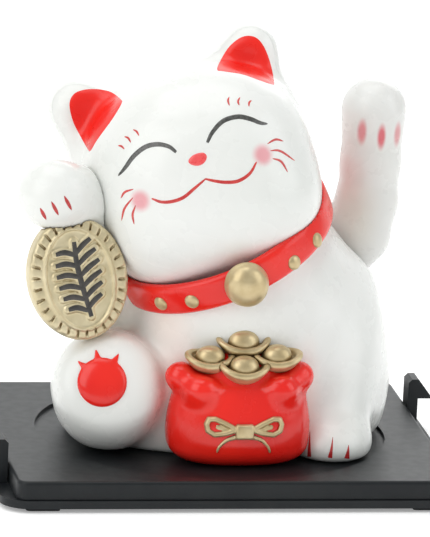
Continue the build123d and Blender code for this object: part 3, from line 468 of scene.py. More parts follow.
def thicken(points, quads, field, wall, seam_at, seam_axis):
    """Gives an open surface a wall inwards, flat along its seam, and closes it round its edges."""
    normal = gradient(field, points)
    on_seam = np.abs((points - seam_at) @ seam_axis) < SEAM_REACH
    normal[on_seam] -= np.outer(normal[on_seam] @ seam_axis, seam_axis)
    normal /= np.maximum(np.linalg.norm(normal, axis=1), 1e-6)[:, None]
    inner = points - normal * wall
    edges = open_edges(quads)
    n = len(points)
    rim = np.stack([edges[:, 1], edges[:, 0], edges[:, 0] + n, edges[:, 1] + n], 1)
    return np.vstack([points, inner]), np.vstack([quads, quads[:, ::-1] + n, rim])


def halves(points, quads, field, wall, at, axis, gap):
    """The two thick shells on either side of a seam plane: the one along the axis, then the other."""
    shells = []
    for sign in (1.0, -1.0):
        seam_at = at + axis * gap * sign

        def behind(p, sign=sign, seam_at=seam_at):
            return sign * ((p - seam_at) @ axis)
        half, faces = main_part(*trim(points.copy(), quads, field, behind))
        shells.append(thicken(half, faces, field, wall, seam_at, axis))
    return shells


def piece(name, points, faces, material, body_name, slot_name, stands_for=()):
    """A smooth-shaded mesh object that rides on a body."""
    mesh = bpy.data.meshes.new(name)
    mesh.from_pydata((np.asarray(points) * MM).tolist(), [], [list(map(int, f)) for f in faces])
    mesh.update()
    mesh.shade_smooth()
    mesh.set_sharp_from_angle(angle=math.radians(50.0))
    obj = bpy.data.objects.new(name, mesh)
    bpy.context.scene.collection.objects.link(obj)
    mesh.materials.append(material)
    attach(obj, body_name)
    if stands_for:
        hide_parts(*stands_for)
    return obj


# --- marks on surfaces

def drop_onto(field, start, towards, reach=60.0):
    """Where rays from start points first meet a field's surface."""
    towards = np.asarray(towards, float) / np.linalg.norm(towards)
    steps = np.linspace(0, reach, 91)
    low, high = np.zeros(len(start)), np.full(len(start), reach)
    found = np.zeros(len(start), bool)
    for s0, s1 in zip(steps, steps[1:]):
        hit = (field(start + s1 * towards) < 0) & ~found
        low[hit], high[hit] = s0, s1
        found |= hit
    for _ in range(14):
        mid = (low + high) / 2
        solid = field(start + mid[:, None] * towards) < 0
        high = np.where(solid, mid, high)
        low = np.where(solid, low, mid)
    return start + high[:, None] * towards


def curve_through(points, steps, closed=False):
    """A smooth curve through points, as evenly numbered samples."""
    p = np.asarray(points, float)
    n = len(p)
    t = np.linspace(0, n if closed else n - 1, steps, endpoint=not closed)
    i = np.minimum(t.astype(int), n - 1 if closed else n - 2)
    f = (t - i)[:, None]

    def at(k):
        return p[k % n] if closed else p[np.clip(k, 0, n - 1)]

    a, b, c, d = at(i - 1), at(i), at(i + 1), at(i + 2)
    if not closed:
        a = np.where((i == 0)[:, None], 2 * b - c, a)
        d = np.where((i == n - 2)[:, None], 2 * c - b, d)
    square, cube = (2 * a - 5 * b + 4 * c - d) * f ** 2, (3 * b - 3 * c + d - a) * f ** 3
    return 0.5 * (2 * b + (c - a) * f + square + cube)


def stroke_mesh(field, plane_at, plane_axes, line, width, lift, steps=36):
    """A painted stroke: a thin crowned ribbon on a surface along a line drawn in a plane.

    width is a function of the share along the line. The plane's middle axis is the direction of sight."""
    centre = curve_through(line, steps)
    ahead = np.gradient(centre, axis=0)
    ahead /= np.linalg.norm(ahead, axis=1)[:, None]
    side = np.stack([-ahead[:, 1], ahead[:, 0]], 1)
    shares = np.linspace(0, 1, steps)
    half = np.array([width(s) for s in shares]) / 2
    across = np.linspace(-1, 1, 7)
    flat = centre[:, None, :] + side[:, None, :] * (half[:, None] * across[None, :])[:, :, None]
    crown = (1 - across[None, :] ** 2) ** 0.5 * np.ones((steps, 1))
    return lay_down(field, plane_at, plane_axes, flat, crown, lift)


def lay_down(field, plane_at, plane_axes, flat, crown, lift, closed=False):
    """A grid of plane points laid on a surface as a thin closed sheet, lifted by crown times lift."""
    rows, columns = flat.shape[:2]
    start = np.zeros((rows * columns, 3))
    start[:, 0], start[:, 2] = flat.reshape(-1, 2).T
    start[:, 1] = -45.0
    on = drop_onto(field, world(start, plane_at, plane_axes), plane_axes[1], 90.0)
    normal = gradient(field, on)
    normal /= np.linalg.norm(normal, axis=1)[:, None]
    top = on + normal * (np.asarray(crown).reshape(-1, 1) * lift + 0.012)
    under = on - normal * 0.12
    n = rows * columns
    faces = []
    for i in range(rows - 1):
        for j in range(columns if closed else columns - 1):
            k = (j + 1) % columns
            a, b, c, d = i * columns + j, i * columns + k, (i + 1) * columns + k, (i + 1) * columns + j
            faces.append((a, b, c, d))
            faces.append((d + n, c + n, b + n, a + n))
    edges = open_edges(np.array(faces[::2]))
    faces += [(b, a, a + n, b + n) for a, b in edges]
    return np.vstack([top, under]), faces


def blob_mesh(field, plane_at, plane_axes, outline, lift, steps=72, rings=7):
    """A painted patch inside a closed outline that is drawn in a plane and laid on a surface."""
    rim = curve_through(outline, steps, closed=True)
    middle = rim.mean(0)
    shares = np.linspace(0.04, 1.0, rings)
    flat = middle + (rim - middle)[None] * shares[:, None, None]
    crown = np.repeat(((1 - shares ** 4) ** 0.5)[:, None], steps, 1)
    points, faces = lay_down(field, plane_at, plane_axes, flat, crown, lift, closed=True)
    n = rings * steps
    inner = [(i, (i + 1) % steps) for i in range(steps)]
    faces = [f for f in faces if not is_inner_wall(f, steps, n)]
    points = np.vstack([points, points[:steps].mean(0), points[n:n + steps].mean(0)])
    faces += [(b, a, 2 * n) for a, b in inner] + [(a + n, b + n, 2 * n + 1) for a, b in inner]
    return points, faces


def is_inner_wall(face, steps, n):
    """Whether a face is the wall round the innermost ring."""
    return all((v < steps) or (n <= v < n + steps) for v in face) and any(v < n for v in face) and any(
        v >= n for v in face)


def merged(meshes):
    """Several meshes as one."""
    points, faces, start = [], [], 0
    for p, f in meshes:
        points.append(p)
        faces += [tuple(int(v) + start for v in face) for face in f]
        start += len(p)
    return np.vstack(points), faces


def outward(obj):
    """Makes a closed mesh's faces point outwards."""
    bm = bmesh.new()
    bm.from_mesh(obj.data)
    bmesh.ops.recalc_face_normals(bm, faces=bm.faces)
    bm.to_mesh(obj.data)
    bm.free()
    return obj


# --- materials

class Nodes:
    """A short way to build a material's nodes."""

    def __init__(self, name):
        self.material = bpy.data.materials.new(name)
        self.material.use_nodes = True
        self.tree = self.material.node_tree
        self.shader = self.tree.nodes["Principled BSDF"]

    def add(self, kind, **values):
        node = self.tree.nodes.new(kind)
        for key, value in values.items():
            setattr(node, key, value)
        return node

    def link(self, a, b):
        self.tree.links.new(a, b)

    def where(self):
        """The point in the row frame at rest, in metres."""
        return self.add("ShaderNodeTexCoord").outputs["Object"]

    def math(self, how, a, b=None, clamp=False):
        node = self.add("ShaderNodeMath", operation=how, use_clamp=clamp)
        for k, value in enumerate((a, b)):
            if value is None:
                continue
            if isinstance(value, (int, float)):
                node.inputs[k].default_value = value
            else:
                self.link(value, node.inputs[k])
        return node.outputs[0]

    def noise(self, size_mm, detail=3.0, rough=0.5):
        node = self.add("ShaderNodeTexNoise")
        node.inputs["Scale"].default_value = 1.0 / (size_mm * MM)
        node.inputs["Detail"].default_value = detail
        node.inputs["Roughness"].default_value = rough
        self.link(self.where(), node.inputs["Vector"])
        return node.outputs["Fac"]

    def spread(self, value, low, high, to_low, to_high):
        node = self.add("ShaderNodeMapRange", interpolation_type="SMOOTHSTEP")
        self.link(value, node.inputs["Value"])
        for name, number in zip(("From Min", "From Max", "To Min", "To Max"), (low, high, to_low, to_high)):
            node.inputs[name].default_value = number
        return node.outputs[0]

    def mix(self, share, a, b):
        node = self.add("ShaderNodeMix", data_type="RGBA")
        if isinstance(share, (int, float)):
            node.inputs[0].default_value = share
        else:
            self.link(share, node.inputs[0])
        for slot_at, value in ((6, a), (7, b)):
            if isinstance(value, tuple):
                node.inputs[slot_at].default_value = (*value, 1.0)
            else:
                self.link(value, node.inputs[slot_at])
        return node.outputs[2]

    def near_point(self, centre, half, soft, axes=None):
        """1 inside an ellipsoid and 0 outside, fading over a share of its size."""
        shift = self.add("ShaderNodeVectorMath", operation="SUBTRACT")
        self.link(self.where(), shift.inputs[0])
        shift.inputs[1].default_value = [float(c) * MM for c in centre]
        axes = np.eye(3) if axes is None else axes
        total = None
        for axis, size in zip(axes, half):
            dot = self.add("ShaderNodeVectorMath", operation="DOT_PRODUCT")
            self.link(shift.outputs[0], dot.inputs[0])
            dot.inputs[1].default_value = [float(v) / (size * MM) for v in axis]
            square = self.math("POWER", self.math("ABSOLUTE", dot.outputs["Value"]), 2.0)
            total = square if total is None else self.math("ADD", total, square)
        return self.spread(self.math("SQRT", total), 1.0 - soft, 1.0 + soft, 1.0, 0.0)

    def bump(self, height, strength, distance_mm=0.1):
        node = self.add("ShaderNodeBump")
        node.inputs["Strength"].default_value = strength
        node.inputs["Distance"].default_value = distance_mm * MM
        self.link(height, node.inputs["Height"])
        self.link(node.outputs["Normal"], self.shader.inputs["Normal"])

    def set(self, **values):
        for key, value in values.items():
            name = key.replace("_", " ")
            if isinstance(value, (int, float)):
                self.shader.inputs[name].default_value = value
            elif isinstance(value, tuple):
                self.shader.inputs[name].default_value = (*value, 1.0)
            else:
                self.link(value, self.shader.inputs[name])
        return self


def lacquer(name, colour, deep, rough=0.26, halos=(), coat=0.25, soft_light=0.0):
    """Sprayed gloss plastic: slight colour drift, orange peel, and soft painted halos as (mask, colour)."""
    n = Nodes(name)
    drift = n.spread(n.noise(26.0, 2.0), 0.35, 0.65, 0.0, 1.0)
    shade = n.mix(drift, colour, deep)
    for make, tint in halos:
        shade = n.mix(make(n), shade, tint)
    n.set(Base_Color=shade, Roughness=n.spread(n.noise(7.0), 0.3, 0.7, rough * 0.8, rough * 1.3))
    n.set(Coat_Weight=coat, Coat_Roughness=0.14, Specular_IOR_Level=0.35)
    if soft_light:
        n.set(Subsurface_Weight=soft_light, Subsurface_Scale=0.004)
        n.shader.inputs["Subsurface Radius"].default_value = (1.0, 0.9, 0.85)
    n.bump(n.noise(2.6, 2.0), 0.06, 0.05)
    return n.material


WHITE, WHITE_DEEP = (0.86, 0.865, 0.84), (0.83, 0.84, 0.81)
RED, RED_DEEP = (0.90, 0.022, 0.012), (0.82, 0.015, 0.009)
PINK = (0.80, 0.30, 0.34)


def halo(centre, half, soft, axes=None, strength=1.0):
    """A maker of a soft mask for lacquer()."""
    return lambda n: n.math("MULTIPLY", n.near_point(centre, half, soft, axes), strength)


def head_point(u, v):
    """A point on the head's front at u, v in head axes."""
    start = world(np.array([[u, -45.0, v]]), HEAD_AT, HEAD_AXES)
    return drop_onto(head, start, HEAD_AXES[1], 90.0)[0]


def gold(name, dull=(0.56, 0.44, 0.24), bright=(0.66, 0.54, 0.32)):
    """Champagne gold paint: metallic flake, uneven sheen, and painted shade that darkens it in the hollows."""
    n = Nodes(name)
    worn = n.spread(n.noise(5.0, 4.0), 0.35, 0.68, 0.0, 1.0)
    shade = n.mix(worn, dull, bright)
    # Painted shade: ambient occlusion mixes the gold towards dark brown in hollows and creases.
    hollow = n.add("ShaderNodeAmbientOcclusion")
    hollow.inputs["Distance"].default_value = 1.6 * MM
    shade = n.mix(n.spread(hollow.outputs["AO"], 0.25, 0.9, 0.0, 1.0), (0.25, 0.17, 0.07), shade)
    n.set(Base_Color=shade, Metallic=0.62, Roughness=n.spread(n.noise(1.2, 3.0), 0.3, 0.7, 0.30, 0.44))
    n.bump(n.noise(0.5, 3.0), 0.16, 0.06)
    return n.material


def plain(name, colour, other, rough, metallic=0.0, grain_mm=0.4, grain=0.1, shine=0.5):
    """Moulded or plain material with a fine grain and two close tones."""
    n = Nodes(name).set(Specular_IOR_Level=shine)
    tone = n.spread(n.noise(9.0, 4.0), 0.35, 0.65, 0.0, 1.0)
    n.set(Base_Color=n.mix(tone, colour, other), Metallic=metallic)
    n.set(Roughness=n.spread(n.noise(3.0, 3.0), 0.3, 0.7, rough * 0.95, rough * 1.05))
    n.bump(n.noise(grain_mm, 2.0), grain, 0.05)
    return n.material


def paint(name, colour, deep, rough=0.22):
    """Brushed-on paint of a mark."""
    n = Nodes(name)
    n.set(Base_Color=n.mix(n.spread(n.noise(1.6, 3.0), 0.35, 0.65, 0.0, 1.0), colour, deep))
    n.set(Roughness=n.spread(n.noise(0.8), 0.3, 0.7, rough * 0.8, rough * 1.3), Coat_Weight=0.35)
    n.bump(n.noise(0.6, 2.0), 0.1, 0.03)
    return n.material


# --- white shells

BLUSHES = [(-17.7, -1.6), (17.3, 0.7)]
EAR_RED_LEFT = [(-29.1, 24.6), (-28.6, 29.4), (-26.2, 31.7), (-21.9, 31.5), (-17.4, 29.5), (-15.0, 26.4),
                (-15.2, 24.9), (-18.9, 21.5), (-24.2, 17.5), (-26.6, 15.4), (-27.3, 15.8), (-28.3, 19.9)]
EAR_RED_RIGHT = [(12.2, 26.4), (13.9, 28.8), (17.4, 31.8), (21.4, 33.2), (24.6, 32.2), (26.2, 29.1),
                 (26.6, 23.9), (26.0, 18.8), (25.2, 18.4), (22.5, 20.2), (18.3, 23.2), (13.6, 25.5)]


def head_material():
    halos = [(halo(head_point(*b), (2.5, 2.5, 2.5), 0.5, None, 0.85), PINK) for b in BLUSHES]
    return lacquer("head_white", WHITE, WHITE_DEEP, halos=halos, soft_light=0.08)


def body_material():
    peach = (0.93, 0.70, 0.60)
    spots = [((-17.0, -22.0, 30.0), (7.0, 6.0, 14.0), 0.7, 0.28),
             ((-20.0, -20.0, 44.0), (9.0, 6.0, 4.5), 0.8, 0.30),
             ((-41.0, -22.0, 42.0), (12.0, 8.0, 4.0), 0.8, 0.22),
             ((22.5, -24.0, 25.0), (2.6, 8.0, 12.0), 0.8, 0.25)]
    halos = [(halo(at, half, soft, None, much), peach) for at, half, soft, much in spots]
    return lacquer("body_white", WHITE, WHITE_DEEP, halos=halos, soft_light=0.08)


TOES = [(40.2, 90.3), (45.5, 89.2), (50.4, 89.4)]        # X and Z of the sprayed toe marks


def arm_material():
    # Painted highlight: the second halo makes the top of the paw whiter than the rest of the arm.
    halos = [(halo((39.0, PIVOT[1] - 8.0, 66.0), (5.0, 8.0, 9.0), 0.8, None, 0.30), (0.84, 0.74, 0.58)),
             (halo((44.0, PIVOT[1], 99.0), (11.0, 12.0, 9.0), 0.7, None, 0.35), (0.90, 0.90, 0.89))]
    for (x, z), much in zip(TOES, (0.75, 0.95, 0.65)):
        halos.append((halo((x, PIVOT[1] - 8.0, z), (1.05, 6.0, 3.1), 0.5, None, much), (0.70, 0.12, 0.15)))
    pale, deep = (0.77, 0.76, 0.73), (0.74, 0.73, 0.70)
    return lacquer("arm_white", pale, deep, halos=halos, rough=0.3, soft_light=0.2)


def build_head(material):
    points, quads = surface(head, (-48, -36, 48), (32, 30, 124), SHELL_STEP)
    rear, front = halves(points, quads, head, BODY_WALL, HEAD_AT, HEAD_AXES[1], SEAM)
    outward(piece("head_front", *front, material, "cat", "white_gloss", ["head_front_shell"]))
    outward(piece("head_rear", *rear, material, "cat", "white_gloss", ["head_rear_shell"]))


def build_body(material):
    points, quads = surface(body, (-62, -34, FLOOR - 4), (54, 46, 92), SHELL_STEP)
    for cutter in (neck_opening, bottom_opening, arm_opening):
        points, quads = trim(points, quads, body, cutter)
    rear, front = halves(points, quads, body, BODY_WALL, ACROSS_Y * PARTING_Y, ACROSS_Y, SEAM)
    for name, (half, faces) in (("body_front", front), ("body_rear", rear)):
        half[:, 2] = np.maximum(half[:, 2], FLOOR)
        outward(piece(name, half, faces, material, "cat", "white_gloss", [name + "_shell"]))


def build_arm(material):
    points, quads = surface(waving_arm, (27, 8, 44), (55, 28, 104), ARM_STEP)
    points, quads = trim(points, quads, waving_arm, lambda p: p[:, 0] - STUB_END)
    rear, front = halves(points, quads, waving_arm, ARM_WALL, ACROSS_Y * PIVOT[1], ACROSS_Y, ARM_SEAM)
    for name, shell in (("arm_front", front), ("arm_rear", rear)):
        outward(piece(name, *shell, material, "waving_arm", "arm_white", [name + "_shell"]))


# --- face and claws

def tapered(peak, power=0.6, start=0.12, end=0.12):
    """A stroke width that is full in the middle and narrow at both ends."""
    def width(s):
        rise = math.sin(math.pi * min(1.0, max(0.0, s))) ** power
        return peak * ((start * (1 - s) + end * s) * (1 - rise) + rise)
    return width


def face_uv(right_mm, up_mm):
    """A place on the face in head axes from its offset along the picture's level axes."""
    tilt = math.radians(17.0)
    c, s = math.cos(tilt), math.sin(tilt)
    return right_mm * c + up_mm * s, up_mm * c - right_mm * s


def face_line(*places):
    return [face_uv(*place) for place in places]


def build_face():
    grey = paint("eye_paint", (0.055, 0.055, 0.052), (0.09, 0.09, 0.085), 0.3)
    coral = paint("line_paint", (0.55, 0.035, 0.035), (0.65, 0.07, 0.06))
    nose = paint("nose_paint", (0.83, 0.07, 0.08), (0.86, 0.10, 0.10), 0.3)
    red = lacquer("ear_paint", RED, RED_DEEP, rough=0.3, coat=0.2)

    def strokes(name, lines, width, lift, material, slot_name):
        meshes = [stroke_mesh(head, HEAD_AT, HEAD_AXES, line, width, lift) for line in lines]
        outward(piece(name, *merged(meshes), material, "cat", slot_name))

    strokes("left_eye", [face_line((-22.4, 0.0), (-20.6, 2.1), (-18.2, 5.3), (-15.1, 7.7), (-11.9, 8.4),
                                   (-8.9, 7.8), (-6.9, 6.3))],
            tapered(1.30, 0.55, 0.2, 0.55), 0.07, grey, "chip_black")
    strokes("right_eye", [face_line((1.4, 8.9), (2.8, 11.7), (5.6, 14.7), (9.4, 15.9), (12.7, 15.4),
                                    (15.6, 14.3), (17.5, 14.1))],
            tapered(1.30, 0.55, 0.55, 0.2), 0.07, grey, "chip_black")
    strokes("left_lashes", [face_line((-18.5, 12.4), (-17.5, 11.8), (-16.9, 10.7)),
                            face_line((-20.8, 10.5), (-19.8, 10.1), (-19.1, 8.9)),
                            face_line((-22.5, 8.1), (-21.6, 7.9), (-20.8, 7.1))],
            tapered(0.55, 0.6), 0.05, coral, "red_gloss")
    strokes("right_lashes", [face_line((7.2, 21.3), (6.9, 20.2), (7.3, 18.9)),
                             face_line((10.1, 21.2), (9.6, 20.1), (9.9, 19.0)),
                             face_line((13.2, 20.4), (12.6, 19.8), (12.5, 18.7))],
            tapered(0.55, 0.6), 0.05, coral, "red_gloss")
    strokes("mouth", [face_line((-13.4, -6.1), (-10.9, -7.0), (-8.0, -6.9), (-4.9, -5.8), (-2.0, -3.4),
                                (0.9, -0.9)),
                      face_line((0.8, -0.8), (3.6, -1.4), (6.6, -1.7), (9.8, -1.3), (12.8, 0.7), (14.6, 3.8))],
            tapered(0.95, 0.5, 0.35, 0.35), 0.06, coral, "red_gloss")
    strokes("left_whiskers", [face_line((-21.7, -6.0), (-20.6, -4.4), (-18.3, -3.6)),
                              face_line((-21.5, -12.0), (-20.7, -8.8), (-18.4, -5.8)),
                              face_line((-18.1, -13.0), (-18.5, -10.4), (-17.7, -7.9))],
            tapered(0.62, 0.6), 0.05, coral, "red_gloss")
    strokes("right_whiskers", [face_line((17.5, 8.7), (19.7, 9.9), (21.8, 9.5)),
                               face_line((18.3, 6.9), (21.0, 6.8), (24.9, 4.3)),
                               face_line((18.9, 4.8), (21.2, 4.0), (23.0, 1.2))],
            tapered(0.62, 0.6), 0.05, coral, "red_gloss")

    def patch(name, outline, lift, rings, material):
        mesh = blob_mesh(head, HEAD_AT, HEAD_AXES, outline, lift, rings=rings)
        outward(piece(name, *mesh, material, "cat", "red_gloss"))

    nose_outline = face_line((-3.6, 4.1), (-2.2, 5.6), (0.2, 6.2), (1.3, 5.2), (0.7, 3.6), (-0.9, 2.7),
                             (-2.9, 3.0))
    patch("nose", nose_outline, 0.30, 7, nose)
    patch("left_ear_red", EAR_RED_LEFT, 0.10, 14, red)
    patch("right_ear_red", EAR_RED_RIGHT, 0.10, 14, red)


CLAW_END = -7.3                  # the toe lines end on the foot's front, above its lower edge


def build_claws():
    dark = paint("claw_paint", (0.42, 0.016, 0.018), (0.55, 0.03, 0.03))

    def slash(centre, angle, length):
        a = math.radians(angle)
        d = np.array([math.cos(a), math.sin(a)]) * length / 2
        c = np.asarray(centre, float)
        return [c - d, c - d * 0.3, c + d * 0.4, c + d]

    def view_place(point):
        q = local(np.asarray(point, float)[None], PAW_AT, VIEW_AXES)[0]
        return q[0], q[2]

    centre = view_place(PAW_AT)
    claws = [slash((centre[0] + du, centre[1] + dv), -60.0, size)
             for du, dv, size in ((-2.7, -5.4, 3.5), (0.4, -3.8, 4.1), (3.8, -2.2, 4.3))]
    width = tapered(0.95, 0.8, 0.1, 0.1)
    meshes = [stroke_mesh(body, PAW_AT, VIEW_AXES, line, width, 0.07) for line in claws]
    outward(piece("raised_paw_claws", *merged(meshes), dark, "cat", "red_gloss"))

    at = np.array([31.0, -19.0, 14.0])
    wedges = [[(-6.7, -0.6), (-6.7, -4.0), (-6.6, CLAW_END)], [(-0.5, -1.7), (-0.7, -4.8), (-1.0, CLAW_END)],
              [(3.9, -3.6), (3.8, -5.5), (3.6, CLAW_END)]]
    widths = [lambda s: 0.12 + 0.95 * s, lambda s: 0.12 + 1.1 * s, lambda s: 0.12 + 1.3 * s]
    meshes = [stroke_mesh(body, at, VIEW_AXES, line, width, 0.06) for line, width in zip(wedges, widths)]
    outward(piece("front_paw_claws", *merged(meshes), dark, "cat", "red_gloss"))


# --- collar, studs and bell

COLLAR_R, COLLAR_T, COLLAR_H = 31.4, 3.4, 9.2


def collar(p):
    """The band, slightly crowned, cut away under the chin."""
    q = local(p, COLLAR_AT, COLLAR_AXES)
    radius = np.hypot(q[:, 0], q[:, 1])
    across = np.abs(radius - (COLLAR_R - COLLAR_T / 2)) - COLLAR_T / 2 + 0.10 * (q[:, 2] / 3.0) ** 2
    up = np.abs(q[:, 2]) - COLLAR_H / 2
    ring = both(across, up, 1.8)
    return carve(ring, head(p) - 0.06, 0.4)


def collar_place(angle, radius, height):
    """A point round the collar, its angle in degrees from the front towards +X."""
    a = math.radians(angle)
    return world(np.array([radius * math.sin(a), -radius * math.cos(a), height]), COLLAR_AT, COLLAR_AXES)


def collar_frame(angle):
    """Side, outward and up directions at a place on the collar."""
    a = math.radians(angle)
    out = math.sin(a) * COLLAR_AXES[0] - math.cos(a) * COLLAR_AXES[1]
    return np.array([np.cross(COLLAR_AXIS, out), out, COLLAR_AXIS])


STUDS = [(-42.0, -0.3), (-24.0, -0.4), (32.0, -2.0), (51.0, -1.8), (150.0, 0.0), (180.0, 0.0), (210.0, 0.0)]


def build_collar(red, gilt):
    points, quads = surface(collar, (-32, -33, 44), (35, 36, 80), 0.55 * FINE)
    outward(piece("collar_band", points, quads, red, "cat", "red_gloss", ["collar"]))
    meshes = []
    for angle, height in STUDS:
        at, axes = collar_place(angle, COLLAR_R - 0.1, height), collar_frame(angle)

        def stud(p, at=at, axes=axes):
            q = local(p, at, axes)
            dome = ball(q, (0, 0, 0), (2.0, 1.0, 2.1))
            return both(dome, -(q[:, 1] + 0.5), 0.3)
        meshes.append(surface(stud, at - 3.1, at + 3.1, 0.3))
    outward(piece("studs", *merged(meshes), gilt, "cat", "gold_paint", ["collar_studs"]))


def build_bell(gilt):
    at, axes = collar_place(5.0, COLLAR_R + 1.2, 0.0), collar_frame(5.0)

    def bell(p):
        q = local(p, at, axes)
        dome = ball(q, (0, 0, 0), (5.7, 4.4, 6.2))
        ring = np.hypot(np.hypot(q[:, 0] / 5.5, q[:, 2] / 6.0) * 5.7 - 5.7, q[:, 1] + 0.6) - 0.5
        return carve(join(dome, ring, 0.8), collar(p) - 0.05, 0.3)
    points, quads = surface(bell, at - 9, at + 9, 0.4 * FINE)
    outward(piece("front_bell", points, quads, gilt, "cat", "gold_paint", ["bell"]))


# --- coin

COIN_AT = np.array([-41.6, -18.6, 56.6])
COIN_AXES = turned_frame(7.0, 6.0, 13.5)
COIN_HALF_W, COIN_HALF_H, COIN_HALF_T = 13.6, 17.0, 3.0
RING_HALF_W, RING_HALF_H = 9.4, 14.0


def ellipse_gap(q, half_w, half_h):
    """Signed distance, nearly, to an ellipse in the plane of the first and third axes."""
    flat = np.stack([q[:, 0] / half_w, q[:, 2] / half_h], 1)
    k0 = np.linalg.norm(flat, axis=1)
    k1 = np.linalg.norm(flat / np.array([half_w, half_h]), axis=1)
    return k0 * (k0 - 1.0) / np.maximum(k1, 1e-9)


SPRIG_STEM = [(0.5, 10.4), (0.0, 4.5), (0.2, -2.5), (0.8, -10.6)]
SPRIG_LEAVES = 6


def sprig_lines():
    """The stem and its paired leaves, as lines in the coin's plane."""
    lines = [(SPRIG_STEM, 0.78)]
    for row in range(SPRIG_LEAVES):
        v = 8.0 - 3.1 * row
        reach = 4.6 + 1.7 * math.sin(math.pi * (row + 0.6) / SPRIG_LEAVES)
        lines.append(([(0.2, v - 1.3), (-reach * 0.5, v + 0.2), (-reach, v + 0.3)], 0.76))
        lines.append(([(0.2, v - 0.9), (reach * 0.5, v + 0.9), (reach, v + 2.2)], 0.76))
    return lines


def line_gap(q, line, radius):
    """Signed distance to a round-ended line drawn in the plane of the first and third axes."""
    samples = curve_through(line, 9)
    flat = q[:, [0, 2]]
    best = np.full(len(q), 1e9)
    for a, b in zip(samples, samples[1:]):
        along = b - a
        t = np.clip(((flat - a) @ along) / (along @ along), 0, 1)
        best = np.minimum(best, np.linalg.norm(flat - a - t[:, None] * along, axis=1))
    return best - radius


def coin(p):
    """The thick oval coin: rounded edge, notched rim, raised oval line and outlined leaf sprig."""
    q = local(p, COIN_AT, COIN_AXES)
    edge = ellipse_gap(q, COIN_HALF_W, COIN_HALF_H)
    form = both(edge, np.abs(q[:, 1]) - COIN_HALF_T, 1.8)
    front = -q[:, 1] - COIN_HALF_T
    ring = np.hypot(ellipse_gap(q, RING_HALF_W, RING_HALF_H), front * 0.8) - 0.5
    form = join(form, ring, 0.25)
    angle = np.arctan2(q[:, 2] / COIN_HALF_H, q[:, 0] / COIN_HALF_W)
    spacing = 2 * math.pi / 30
    off = np.abs((angle / spacing + 0.5) % 1.0 - 0.5) * spacing * COIN_HALF_W * 1.1
    notch = np.maximum(off - 0.34, np.abs(edge + 1.7) - 1.15)
    form = carve(form, np.maximum(notch, -front - 0.7), 0.3)
    relief = np.min([line_gap(q, line, radius + 0.45) for line, radius in sprig_lines()], axis=0)
    raised = both(relief, front - 0.55, 0.5)
    form = join(form, np.maximum(raised, -front - 1.0), 0.3)
    return carve(form, np.minimum(body(p), np.minimum(head(p), collar(p))) - 0.12, 0.4)


def build_coin(gilt):
    points, quads = surface(coin, COIN_AT - (19, 9, 20), COIN_AT + (19, 9, 20), 0.42 * FINE)
    outward(piece("oval_coin", points, quads, gilt, "cat", "gold_paint", ["koban_coin"]))
    ink = paint("relief_ink", (0.030, 0.028, 0.026), (0.055, 0.05, 0.045), 0.4)
    meshes = []
    for line, radius in sprig_lines():
        def width(s, radius=radius):
            return 2 * radius * (0.75 + 0.25 * math.sin(math.pi * s))
        meshes.append(stroke_mesh(coin, COIN_AT, COIN_AXES, line, width, 0.10, 20))
    outward(piece("coin_relief_ink", *merged(meshes), ink, "cat", "chip_black"))


# --- sole pad

PAD_SHIFT = (-1.9, 0.4)


def build_sole(red):
    up = np.array([0.0, 0.0, 1.0]) - SOLE_OUT * SOLE_OUT[2]
    up /= np.linalg.norm(up)
    axes = np.array([np.cross(up, SOLE_OUT), -SOLE_OUT, up])
    start = SOLE_AT + SOLE_OUT * 20 + up * PAD_SHIFT[1] + axes[0] * PAD_SHIFT[0]
    at = drop_onto(body, start[None], -SOLE_OUT)[0]

    def pad(p):
        q = local(p, at, axes)
        dome = ball(q, (0, 0.2, 0), (6.7, 2.0, 6.7))
        flat, skin = q * np.array([1.0, 0.0, 1.0]), body(p)
        for angle, reach in ((141.0, 8.6), (103.0, 9.0), (62.0, 8.8)):
            a = math.radians(angle)
            root, tip = ((r * math.cos(a), 0.0, r * math.sin(a)) for r in (5.2, reach))
            dome = join(dome, both(rod(flat, root, tip, 1.35, 0.15), skin - 0.3, 0.2), 0.4)
        return carve(dome, skin + 0.5, 0.2)
    points, quads = main_part(*surface(pad, at - 10, at + 10, 0.32 * FINE))
    outward(piece("sole_paw_pad", points, quads, red, "cat", "red_gloss", ["sole_pad"]))


# --- bag, ingots and bow

BAG_AT = np.array([3.1, -24.5, FLOOR])
BAG_LOBES = [((-13.4, -27.0, 31.6), 4.2), ((-8.4, -31.8, 28.8), 4.4), ((13.4, -31.8, 29.0), 4.4),
             ((18.6, -27.0, 31.8), 4.2)]
INGOTS = [((-5.9, -27.8, 35.9), 6.7, 3.0), ((12.4, -27.8, 36.3), 6.7, -3.0), ((3.0, -31.0, 34.0), 6.7, 0.0),
          ((3.5, -24.8, 39.4), 7.2, 0.0)]
INGOT_LEAN = 14.0


def bag(p):
    """The bag: full belly, drawn-in neck, lobed mouth and the red heap under the ingots."""
    q = p - BAG_AT
    level = q[:, 2]
    half_w = smooth_curve(level, (-2, 4, 11, 17, 22, 26), (16.6, 19.0, 19.5, 18.6, 17.4, 17.6))
    half_d = smooth_curve(level, (-2, 4, 11, 17, 22, 26), (9.8, 12.0, 12.4, 11.2, 9.4, 9.2))
    k = (np.abs(q[:, 0] / half_w) ** 2.5 + np.abs(q[:, 1] / half_d) ** 2.5) ** 0.4
    form = both(both((k - 1) * half_d, level - 23.6, 4.0), 0.05 - level, 5.0)
    for at, radius in BAG_LOBES:
        form = join(form, ball(p, at, (radius, radius * 0.95, radius * 0.9)), 3.2)
    heap = ball(p, (3.2, -24.0, 32.0), (13.6, 8.4, 6.2))
    form = join(form, heap, 1.5)
    return carve(form, body(p) - 0.1, 0.5)


